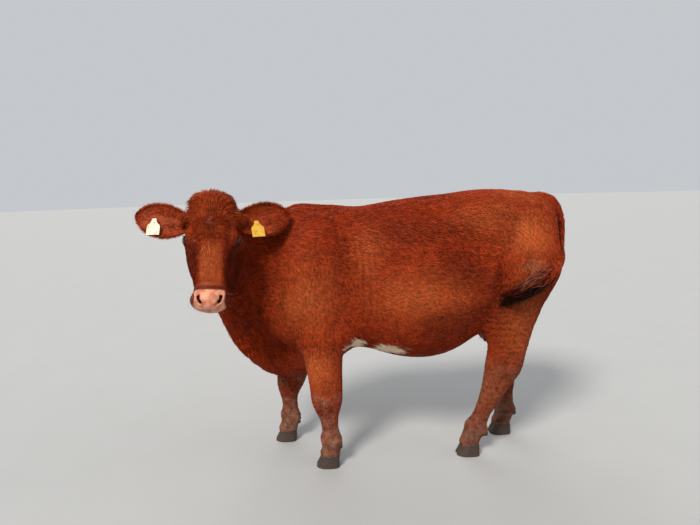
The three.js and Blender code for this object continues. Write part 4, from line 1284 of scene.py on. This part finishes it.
def buildSkin():
    # the skin as one piece, with the ears
    points, faces = [skinPoints], [skinFaces]
    base = len(skinPoints)
    for side in bothSides:
        p, f = earSurface(side)
        points.append(p)
        faces += [part + base for part in f]
        base += len(p)
    points = np.vstack(points)
    marks, more = marksAt(points)
    quads = np.vstack([f for f in faces if f.shape[1] == 4])
    fans = np.vstack([f for f in faces if f.shape[1] == 3])
    return meshPiece("skin", points, [quads, fans], None, {"marks": marks, "moreMarks": more})


legNodes = [f"leg_{name}_{part}" for name in legJoints for part in ("upper", "lower")]
fleshNodes = ["trunk", "neck", "head", *legNodes, "ear_left", "ear_right", "tail_dock", "tail_middle", "udder"]
ridden(buildSkin(), "coat", skinPaint, *fleshNodes)
report("skin piece")


coatBuild = {"most": 19500, "seed": 41}  # most tufts to a piece


def partOf(points):
    # which tile of the unwrap a root belongs to
    x, y, z = points.T
    names = np.full(len(points), "trunk", dtype=object)
    names[(x < -300) & (z > 420)] = "neck"
    names[legShare(points) > 0.5] = "hind"
    names[(legShare(points) > 0.5) & (x < 250)] = "fore"
    names[headShare(points) > 0.5] = "head"
    names[(x > 930) | ((x > 880) & (np.abs(y) < 45) & (z > 1225))] = "tail"
    return names


def buildCoat():
    # Tufts over the whole skin, each with its own length, width, lift, curl, turn and tone, shared
    # out among pieces by region and then along the body.
    rng = np.random.default_rng(coatBuild["seed"])
    roots, normals = scatter(skinPoints, skinFaces, skinNormals, coatBuild["seed"])
    names = partOf(roots)
    length = lengthAt(roots, normals)
    lies = lieAt(roots, normals)
    head, leg = headShare(roots), legShare(roots)
    down, out, left = faceCoords(roots).T
    width = 2.3 + 0.035 * length + 0.5 * (1 - head)
    width = width * (1 - 0.3 * head * smoothStep(down, 60, 180)) * (1 - 0.15 * leg)
    lift = 0.10 + 0.03 * leg + 0.06 * smoothStep(-roots[:, 0], 250, 420)
    beside = head * smoothStep(np.abs(left), 62, 88) * bump(down, 38, 40)
    onPoll, onBrow = smoothStep(-down, -110, -20), smoothStep(-down, -180, -110)
    lift += head * (0.12 * onPoll + 0.04 * onBrow) + 0.30 * beside
    length = length * (1 + 0.45 * beside)
    tone = 0.48 + 0.36 * grain(roots, 24, 31) + 0.2 * grain(roots, 9, 32)
    tone = np.clip(tone + 0.44 * (rng.random(len(roots)) - 0.5), 0, 1)
    length = length * (0.78 + 0.44 * rng.random(len(roots)))
    width = width * (0.75 + 0.5 * rng.random(len(roots)))
    lift = lift * (0.45 + 1.1 * rng.random(len(roots)) ** 1.5)
    curl = 0.16 * rng.standard_normal(len(roots))
    turn = 0.14 * rng.standard_normal(len(roots))
    side = np.cross(normals, lies)
    lies = lies * np.cos(turn)[:, None] + side * np.sin(turn)[:, None]
    for name in ("trunk", "neck", "head", "fore", "hind", "tail"):
        chosen = np.flatnonzero(names == name)
        axis = 1 if name in ("fore", "hind") else 0  # pieces follow one another along this
        order = chosen[np.argsort(roots[chosen, axis], kind="stable")]
        shares = np.array_split(order, max(1, math.ceil(len(order) / coatBuild["most"])))
        for k, part in enumerate(shares):
            drop = skinDrop(roots[part], lies[part], length[part], 2)
            arrays = tuftArrays(
                roots[part], normals[part], lies[part], length[part], width[part], lift[part], curl[part], 2,
                atlasAt(roots[part], name), tone[part], drop,
            )
            ridden(coatPiece(f"coat_{name}_{k + 1}", [(arrays, roots[part])]), "coat", tuftPaint)
        report(f"coat {name}: {len(order)} tufts")


# tufts on each face, their lengths, how far they stand out and how pale they are; those of the hollow's face
# darkest, as painted shade
earCoat = {
    "count": {"front": 2600, "back": 2600, "rim": 900, "inside": 240},
    "length": (12, 18), "rimLength": (11, 22),
    "lift": {"front": 0.15, "back": 0.10, "rim": 0.04, "inside": 0.1},
    "tone": {"front": 0.28, "back": 0.5, "rim": 0.5, "inside": 1.0},
}


def earTufts(side, seed):
    # short tufts over both faces towards the tip, longer ones round the rim, and long ones inside
    rng = np.random.default_rng(seed)
    along, across, hollow = earAxes(side)
    parts = []
    for face, count in earCoat["count"].items():
        share, turn = 0.02 + 0.95 * rng.random(count), -0.97 + 1.94 * rng.random(count)
        if face == "rim":
            turn = np.where(rng.random(count) < 0.5, -1, 1) * (0.93 + 0.06 * rng.random(count))
            share = 0.10 + 0.88 * rng.random(count) ** 0.8
        if face == "inside":
            share, turn = 0.08 + 0.42 * rng.random(count), 0.15 + 0.7 * rng.random(count)
        behind = earSkin["outer"] if face == "back" else earSkin["inner"]
        steps = ((0, 0), (0.01, 0), (0, 0.01))
        places = [onEar(side, share + a, turn + b, behind, earSkin["rim"]) for a, b in steps]
        here, onward, aside = places[0], unit(places[1] - places[0]), unit(places[2] - places[0])
        normal = unit(np.cross(onward, aside))
        normal *= np.sign(normal @ hollow)[:, None] * (-1 if face == "back" else 1)
        spread = np.sign(turn)[:, None] * smoothStep(np.abs(turn), 0.2, 1.0)[:, None]
        lie = onward + aside * spread * (0.9 if face == "rim" else 0.35)
        if face == "rim":
            outward = np.sign(turn) * (1 - smoothStep(share, 0.8, 1.0))
            lie = onward * 0.8 + across * 0.75 * outward[:, None]
        if face == "inside":
            lie = onward * 0.6 + across * 0.75 + hollow * 0.35
        lie = unit(lie + 0.16 * rng.standard_normal((count, 3)))
        low, high = earCoat["rimLength"] if face in ("rim", "inside") else earCoat["length"]
        length = low + (high - low) * rng.random(count)
        length *= 1.7 if face == "inside" else 1.0
        lift = earCoat["lift"][face] * (0.5 + rng.random(count))
        tag = (nodeMiddle("tag_left" if side > 0 else "tag_right") - rowShift) / mm
        nearTag = smoothStep(-np.linalg.norm(here - tag, axis=1), -66, -50)
        lift, length = lift * (1 - 0.95 * nearTag), length * (1 - 0.35 * nearTag)
        width = (1.3 if face == "inside" else 2.0) * (0.7 + 0.6 * rng.random(count))
        tone = np.clip(earCoat["tone"][face] + 0.3 * (rng.random(count) - 0.5), 0, 1)
        normal = unit(normal - lie * (normal * lie).sum(1, keepdims=True))
        curl = 0.12 * rng.standard_normal(count)
        arrays = tuftArrays(here, normal, lie, length, width, lift, curl, 2, atlasAt(here, "ears"), tone)
        parts.append((arrays, here))
    return parts


buildCoat()
ridden(coatPiece("coat_ears", earTufts(-1, 5) + earTufts(1, 6)), "coat", tuftPaint)
report("coat pieces")


eyeBuild = {"rings": 26, "sides": 40, "cornea": 1.4, "lashes": 36, "whiskers": 54}


def eyePiece(side, name):
    # a ball turned on the gaze, with a low swelling of its front, and a map of its front's two axes
    turn = np.linspace(0, math.pi, eyeBuild["rings"] + 2)[1:-1, None]
    around = np.linspace(0, 2 * math.pi, eyeBuild["sides"], endpoint=False)
    gaze, slit, across = eyeAxes(side)
    swelling = eyeSize["radius"] + eyeBuild["cornea"] * np.exp(-((turn / 0.55) ** 2))
    a, b, c = np.cos(turn) + 0 * around, np.sin(turn) * np.cos(around), np.sin(turn) * np.sin(around)
    grid = sum((swelling * part)[..., None] * axis for part, axis in ((a, gaze), (b, slit), (c, across)))
    points = closeTube(grid)
    points[-2:] = (eyeSize["radius"] + eyeBuild["cornea"]) * gaze, -eyeSize["radius"] * gaze
    faces = turnedOut(points, ringFaces(*grid.shape[:2]))
    map2 = np.stack((points @ slit, points @ across), 1) / eyeSize["radius"] * 0.5 + 0.5
    return meshPiece(name, points + eyePlace(side), faces, {"gaze": map2})


def eyePaint():
    # a wide dark pupil in a dark brown iris, with a darker rim and a dull red at the corners
    paint = Paint("wet eye")
    gaze = paint.node("ShaderNodeUVMap", {"uv_map": "gaze"})
    split = paint.node("ShaderNodeSeparateXYZ", None, {0: gaze})
    u, v = (Value(paint, o) * 2 - 1 for o in split.socket.node.outputs[:2])
    pupil = ((u * 2.3) ** 2 + (v * 3.4) ** 2) ** 0.5
    iris = ((u * 1.25) ** 2 + (v * 1.25) ** 2) ** 0.5
    flecks = paint.noise(paint.place(), 900, 3)
    colour = paint.mix(flecks, (0.012, 0.005, 0.003), (0.040, 0.016, 0.008))
    colour = paint.mix(iris.eased(0.72, 0.98), colour, (0.006, 0.004, 0.004))
    colour = paint.mix(iris.eased(1.06, 1.2), colour, (0.040, 0.016, 0.012))
    colour = paint.mix(1 - pupil.eased(0.9, 1.1), colour, (0.002, 0.003, 0.006))
    return paint.finish(colour, 0.14, None, Specular_IOR_Level=0.3, Coat_Weight=0.25, Coat_Roughness=0.04)


def plainPaint(name, low, high, scale, roughness, distance=0.0006):
    # one colour speckled towards another, with a bump of the same noise
    paint = Paint(name)
    speckle = paint.noise(paint.place(), scale, 4, 0.6)
    colour = paint.mix(speckle.eased(0.3, 0.7), low, high)
    return paint.finish(colour, roughness + 0.12 * speckle, paint.bump(speckle, distance, 0.7))


def spikes(name, roots, ways, lies, length, width, lift, curl, seed):
    # loose hairs of the head as tufts of one strand each, all of one width and lift
    width, lift = np.full(len(roots), width), np.full(len(roots), lift)
    tone = np.random.default_rng(seed).random(len(roots))
    arrays = tuftArrays(roots, ways, lies, length, width, lift, curl, 3, atlasAt(roots, "head"), tone)
    return coatPiece(name, [(arrays, roots)])


def lashPiece():
    # along the edge of each upper lid, standing out and curving up
    roots, ways, lies = [], [], []
    for side in bothSides:
        gaze, slit, across = eyeAxes(side)
        b = np.linspace(-0.86, 0.80, eyeBuild["lashes"]) * lids["halfLength"]
        c = side * (lids["halfOpening"] * (1 - (b / lids["halfLength"]) ** 2) + 1.2)
        a = np.sqrt((eyeSize["radius"] + 3.6) ** 2 - b ** 2 - c ** 2)
        roots.append(eyePlace(side) + a[:, None] * gaze + b[:, None] * slit + c[:, None] * across)
        lies.append(np.tile(gaze * 0.55 - across * side * 0.15, (len(b), 1)) + (b / 40)[:, None] * slit)
        ways.append(np.tile(across * side, (len(b), 1)))
    roots, lies = np.vstack(roots), unit(np.vstack(lies))
    ways = np.vstack(ways)
    ways = unit(ways - lies * (ways * lies).sum(1, keepdims=True))
    rng = np.random.default_rng(7)
    length = 10 + 5 * rng.random(len(roots))
    curl = 0.1 * rng.standard_normal(len(roots))
    return spikes("eye_lashes", roots, ways, lies, length, 1.0, 0.3, curl, 3)


def whiskerPiece():
    # a few stiff hairs out of the lips, the chin and the sides of the muzzle
    rng = np.random.default_rng(23)
    down, out, left = faceCoords(skinPoints).T
    around = (down > 392) & (down < 478) & ((np.abs(left) > 44) | (out < -70))
    around &= (skinPoints[:, 0] < -300) & (skinPoints[:, 1] < -400)
    roots = rng.choice(np.flatnonzero(around), eyeBuild["whiskers"], replace=False)
    ways = skinNormals[roots]
    lies = unit(ways * 0.8 + downFace * 0.45 + 0.25 * rng.standard_normal((len(roots), 3)))
    over = unit(np.cross(lies, np.cross(ways, lies)))
    length, bend = 14 + 14 * rng.random(len(roots)), 0.14 * rng.standard_normal(len(roots))
    return spikes("whiskers", skinPoints[roots], over, lies, length, 0.95, 0.05, bend, 8)


eyeMaterial = eyePaint()
ridden(eyePiece(-1, "eyeball_right"), "eye_wet", eyeMaterial, "eye_right")
ridden(eyePiece(1, "eyeball_left"), "eye_wet", eyeMaterial, "eye_left")
ridden(lashPiece(), "coat", plainPaint("lashes", (0.010, 0.005, 0.004), (0.03, 0.014, 0.01), 300, 0.45))
ridden(whiskerPiece(), "coat", plainPaint("whiskers", (0.30, 0.17, 0.10), (0.55, 0.40, 0.28), 300, 0.45))
report("eyes")


# The switch of the tail is a tapered core under locks that hang and curl towards its tip.


def remark(piece, name, values, each):
    # gives each tuft of a piece its own marks in place of those of the skin
    values = np.repeat(np.stack(values, 1), each, axis=0)
    piece.data.attributes[name].data.foreach_set("vector", values.astype(np.float32).ravel())


switch = {
    "locks": 900, "length": (70, 150), "width": 6.0, "curl": 0.10, "crimp": 3.2, "rings": 5,
    "core": 0.62, "start": [(1010, -126, 972, 36), (958, -206, 938, 44)],
}


def switchPiece():
    # A core of a share of the switch's thickness follows the tail's line. Each lock starts on it and
    # runs along the line, lifting off it at first and drawing in near the tip.
    rows = smoothRows(switch["start"] + tailLine[9:], 6)
    middle, radius = rows[:, :3], rows[:, 3] - 6
    along = unit(np.gradient(middle, axis=0))
    side = unit(np.cross(along, up))
    over = np.cross(side, along)
    around = np.linspace(0, 2 * math.pi, 16, endpoint=False)
    ring = np.cos(around)[None, :, None] * side[:, None] + np.sin(around)[None, :, None] * over[:, None]
    core = middle[:, None] + np.maximum(radius, 3)[:, None, None] * ring * switch["core"]
    points = closeTube(core)
    faces = turnedOut(points, ringFaces(*core.shape[:2]))
    rng = np.random.default_rng(19)
    share = rng.random(switch["locks"]) ** 0.8 * 0.86
    spot = share * (len(rows) - 1)
    i, t = np.floor(spot).astype(int), (spot % 1)[:, None]
    at = middle[i] * (1 - t) + middle[i + 1] * t
    way = unit(along[i] * (1 - t) + along[i + 1] * t)
    turn = rng.random(len(at)) * 2 * math.pi
    out = unit(np.cos(turn)[:, None] * side[i] + np.sin(turn)[:, None] * over[i])
    thick = np.interp(spot, np.arange(len(rows)), np.maximum(radius, 3))
    roots = at + out * (thick * switch["core"])[:, None]
    left = (1 - share) * np.linalg.norm(np.diff(middle, axis=0), axis=1).sum()
    short, long = switch["length"]
    length = np.minimum(short + (long - short) * rng.random(len(at)), left + 6)
    normal = unit(out - way * (out * way).sum(1, keepdims=True))
    settled = smoothStep(share, 0.04, 0.30)
    lift = settled * np.clip((thick * 0.45) / length, 0.0, 0.16) * rng.random(len(at))
    lift -= np.clip(thick * 0.5 / length, 0, 0.3) * smoothStep(share, 0.5, 0.95)
    width = switch["width"] * (0.6 + 0.8 * rng.random(len(at)))
    # painted shade: locks on the switch's underside given a darker tone
    tone = np.clip(0.5 + 0.5 * (rng.random(len(at)) - 0.5) - 0.4 * (out @ up < -0.2), 0, 1)
    curl = settled * switch["curl"] * rng.standard_normal(len(at))
    unwrap = atlasAt(roots, "tail")
    arrays = tuftArrays(
        roots, normal, way, length, width, lift, curl, switch["rings"], unwrap, tone, 0.0, switch["crimp"],
    )
    locks, each = coatPiece("tail_locks", [(arrays, roots)]), arrays[4]
    onward = smoothStep(-roots[:, 0], -985, -905)
    # the switch near black, partly dark wet hair and partly painted shadow, and darker on its underside as
    # painted shade
    shade = np.clip(0.95 - 0.15 * (out @ up) + 0.2 * grain(roots, 20, 51), 0, 1) * onward
    muddy = smoothStep(out @ up + 0.4 * grain(roots, 14, 52), 0.25, 0.8)
    muddy = muddy * smoothStep(roots[:, 0], 800, 860) * onward
    remark(locks, "marks", (0.45 * muddy, 0 * muddy, 0 * muddy), each)
    # painted shade: the switch's underside below its muddy top, carried in the third mark with the wet
    below = np.clip(0.9 - 0.5 * (out @ up) + 0.2 * grain(roots, 20, 53), 0, 1) * onward * (1 - muddy)
    remark(locks, "moreMarks", (shade * (1 - 0.7 * muddy), 0 * shade, below), each)
    marks, more = marksAt(points)
    return locks, meshPiece("tail_core", points, faces, None, {"marks": marks, "moreMarks": more})


switchLocks, switchCore = switchPiece()
ridden(switchLocks, "coat", tuftPaint, "tail_switch")
ridden(switchCore, "coat", skinPaint)
report("tail switch")


def hornPaint():
    # dark horn, ringed along its height, under dried mud that is thickest at the ground
    paint = Paint("horn")
    place = paint.place()
    height = Value(paint, paint.node("ShaderNodeSeparateXYZ", None, {0: place}).socket.node.outputs[2])
    flat = paint.stretched(place, (0, 0, 0), (0.5, 0.5, 6))
    rings = paint.noise(flat, 60, 2)
    fibre = paint.noise(paint.stretched(place, (0, 0, 0), (4, 4, 0.4)), 260, 2)
    colour = paint.mix(rings, (0.012, 0.007, 0.005), (0.042, 0.023, 0.015))
    dirt = (1 - height.eased(0.0, 0.07)) * 0.7 + paint.noise(place, 40, 3).eased(0.42, 0.62) * 0.4
    colour = paint.mix(dirt.atMost(1.0), colour, (0.050, 0.028, 0.018))
    bump = paint.bump(rings * 0.7 + fibre * 0.3, 0.0014, 0.8)
    return paint.finish(colour, 0.5 + 0.3 * dirt.atMost(1.0), bump)


def tagPaint(name, clean, worn):
    # moulded soft plastic, dirty in patches and worn to a duller colour in others
    paint = Paint(name)
    place = paint.place()
    grime = paint.noise(place, 55, 4, 0.6).eased(0.5, 0.78)
    colour = paint.mix(paint.noise(place, 22, 2).eased(0.35, 0.7), clean, worn)
    colour = paint.mix(grime * 0.55, colour, (0.10, 0.07, 0.045))
    fine = paint.noise(place, 700, 2)
    fine = paint.bump(fine, 0.0002, 0.5)
    return paint.finish(colour, 0.38 + 0.3 * grime, fine, Coat_Weight=0.1, Coat_Roughness=0.3)


def refinish(nodes, material):
    # gives nodes that are shown as they are a material of their own
    for node in nodes:
        mesh = bpy.data.objects[node].data
        mesh.materials.clear()
        mesh.materials.append(material)


claw = {
    "length": 118, "width": 52, "split": 3, "coronet": 60, "slope": 0.2, "lean": 0.42, "rings": 26,
    "curve": 11, "ripple": 0.28,
}


def clawPiece(name, foot, side):
    # The horn's edge on the ground is five quadratic curves. It draws in and back as it rises to the
    # sloping coronet, with growth rings as a sine of its height and a rounded lower edge.
    toe, heel = -0.6 * claw["length"], 0.4 * claw["length"]
    inner, outer = claw["split"], claw["split"] + claw["width"]
    curves = np.array([
        ((toe, inner + 3), (toe + 2, outer * 0.7), (toe * 0.45, outer * 0.96)),
        ((toe * 0.45, outer * 0.96), (heel * 0.2, outer + 3), (heel * 0.75, outer * 0.92)),
        ((heel * 0.75, outer * 0.92), (heel * 1.05, outer * 0.6), (heel * 0.9, inner)),
        ((heel * 0.9, inner), (heel * 0.45, inner), (0, inner)),
        ((0, inner), (toe / 2, inner + 1.5), (toe, inner + 3)),
    ])
    t = np.linspace(0, 1, claw["curve"])[:-1, None]
    edge = np.vstack([(1 - t) ** 2 * a + 2 * t * (1 - t) * b + t * t * c for a, b, c in curves])
    for _ in range(2):  # rounds the toe and the heel's inner corner
        edge = edge * 0.5 + (np.roll(edge, 1, 0) + np.roll(edge, -1, 0)) * 0.25
    away = unit(np.roll(edge, -1, 0) - np.roll(edge, 1, 0)) @ np.array(((0, 1), (-1, 0)))
    away *= np.sign(((edge - edge.mean(0)) * away).sum())
    share = np.concatenate(((0, 0.02, 0.05), np.linspace(0.1, 1, claw["rings"])))[:, None]
    draw = claw["lean"] * claw["slope"] * (edge[:, 0] - heel) / 90
    top = (claw["coronet"] - claw["slope"] * edge[:, 0]) / (1 - draw)
    z = share * top
    swell = claw["ripple"] * np.sin(z / 2.6 + edge[:, 0] / 40) * smoothStep(share, 0.1, 0.2)
    swell = swell - 3.2 * (1 - smoothStep(share, -0.02, 0.06)) + 0.4 * bump(share, 0.93, 0.06)
    swell = swell - 2.5 * smoothStep(share, 0.97, 1.0)
    x = heel + (edge[:, 0] - heel) * (1 - claw["lean"] * z / 90) + away[:, 0] * swell
    y = (edge[:, 1] * (1 - 0.1 * z / 90) + away[:, 1] * swell * (edge[:, 1] > inner + 4)) * side
    grid = np.stack((foot[0] + x, foot[1] + y, z), -1)
    points = closeTube(grid)
    return meshPiece(name, points, turnedOut(points, ringFaces(*grid.shape[:2])))


def dewclawPiece(name, fetlock, side, fore):
    # a ball drawn out downwards and back into a blunt bud
    turn = np.linspace(0, math.pi, 16)[1:-1, None]
    around = np.linspace(0, 2 * math.pi, 20, endpoint=False)
    high = np.cos(turn) + 0 * around
    thick = np.sin(turn) * (1 - 0.22 * high)
    place = np.array(fetlock) + ((37 if fore else 41), side * 23, -24)
    back, aside = 13.5 * thick * np.cos(around) + 3 * (1 - high), 11.5 * thick * np.sin(around)
    grid = np.stack((back, aside, 18 * high), -1) + place
    grid[..., 2] += 0.35 * np.sin(grid[..., 2])
    points = closeTube(grid)
    return meshPiece(name, points, turnedOut(points, ringFaces(*grid.shape[:2])))


hornMaterial = hornPaint()
for name, joints in legJoints.items():
    for half, side in (("a", -1), ("b", 1)):
        horn = clawPiece(f"horn_{name}_{half}", joints[-1], side)
        ridden(horn, "hoof_horn", hornMaterial, f"claw_{name}_{half}")
        bud = dewclawPiece(f"bud_{name}_{half}", joints[-2], side, name.startswith("fore"))
        ridden(bud, "hoof_horn", hornMaterial, f"dewclaw_{name}_{half}")
refinish(("tag_left", "tag_left_button"), tagPaint("yellow tag", (0.72, 0.38, 0.018), (0.60, 0.33, 0.035)))
refinish(("tag_right", "tag_right_button"), tagPaint("cream tag", (0.60, 0.46, 0.29), (0.50, 0.38, 0.24)))
report("hooves and tags")


studio = {
    "floor": 60.0, "world": (0.90, 0.93, 0.97), "worldStrength": 0.62,
    "key": {"from": (-2.3, -4.0, 4.2), "soft": 16, "power": 3.5, "colour": (1.0, 0.96, 0.90)},
    "side": {"from": (4.2, -0.8, 2.6), "soft": 50, "power": 0.5, "colour": (1.0, 0.98, 0.95)},
    "back": {"from": (-0.6, 4.4, 3.2), "soft": 50, "power": 1.0, "colour": (0.96, 0.98, 1.0)},
}
view = {"place": (-0.19424, -2.67190, 1.35), "yaw": 2.5, "pitch": 7.68, "roll": -1.8, "lens": 28.8}


def buildFloor():
    # a wide disc as one fan, its top at z = 0
    sides = 96
    turn = np.linspace(0, 2 * math.pi, sides, endpoint=False)
    rim = studio["floor"] * 1000 * np.stack((np.cos(turn), np.sin(turn), 0 * turn), 1)
    i = np.arange(sides)
    fan = np.stack((i, (i + 1) % sides, np.full(sides, sides)), 1)
    floor = meshPiece("floor", np.vstack((rim, (0, 0, 0))), [fan])
    floor.data.transform(Matrix.Translation([-v for v in rowShift]))
    paint = plainPaint("pale floor", (0.37, 0.37, 0.365), (0.38, 0.38, 0.375), 3, 0.9, 0.0)
    floor.data.materials.append(paint)


def putInScene(thing, right, above, back, place):
    # links a lamp or a camera, with its three axes and its place as a matrix
    columns = np.column_stack((right, above, back, place))
    thing.matrix_world = Matrix(np.vstack((columns, (0, 0, 0, 1))).tolist())
    bpy.context.scene.collection.objects.link(thing)


def softLight(name):
    # a wide soft source, far off in its direction
    lamp = studio[name]
    light = bpy.data.lights.new(name, "SUN")
    light.angle, light.energy, light.color = math.radians(lamp["soft"]), lamp["power"], lamp["colour"]
    back = unit(lamp["from"])
    right = unit(np.cross(up, back))
    putInScene(bpy.data.objects.new(name, light), right, np.cross(back, right), back, lamp["from"])


def buildCamera():
    # turned by yaw and pitch, then rolled round its own forward axis
    yaw, pitch, roll = (math.radians(view[k]) for k in ("yaw", "pitch", "roll"))
    forward = np.array((math.sin(yaw) * math.cos(pitch), math.cos(yaw) * math.cos(pitch), -math.sin(pitch)))
    right = np.array((math.cos(yaw), -math.sin(yaw), 0))
    above = np.cross(right, forward)
    rolled = right * math.cos(roll) + above * math.sin(roll)
    above = above * math.cos(roll) - right * math.sin(roll)
    lens = bpy.data.cameras.new("camera")
    lens.lens, lens.sensor_width, lens.clip_end = view["lens"], 36, 200
    camera = bpy.data.objects.new("camera", lens)
    putInScene(camera, rolled, above, -forward, view["place"])
    bpy.context.scene.camera = camera


def buildStudio():
    # an evenly pale world and three soft lights
    world = bpy.data.worlds.new("pale room")
    world.use_nodes = True
    world.node_tree.nodes["Background"].inputs[0].default_value = (*studio["world"], 1)
    world.node_tree.nodes["Background"].inputs[1].default_value = studio["worldStrength"]
    bpy.context.scene.world = world
    for name in ("key", "side", "back"):
        softLight(name)


buildFloor()
buildStudio()
buildCamera()
bpy.context.scene.view_settings.view_transform = "Standard"
report("floor, light and camera")

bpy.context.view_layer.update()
report("size written")
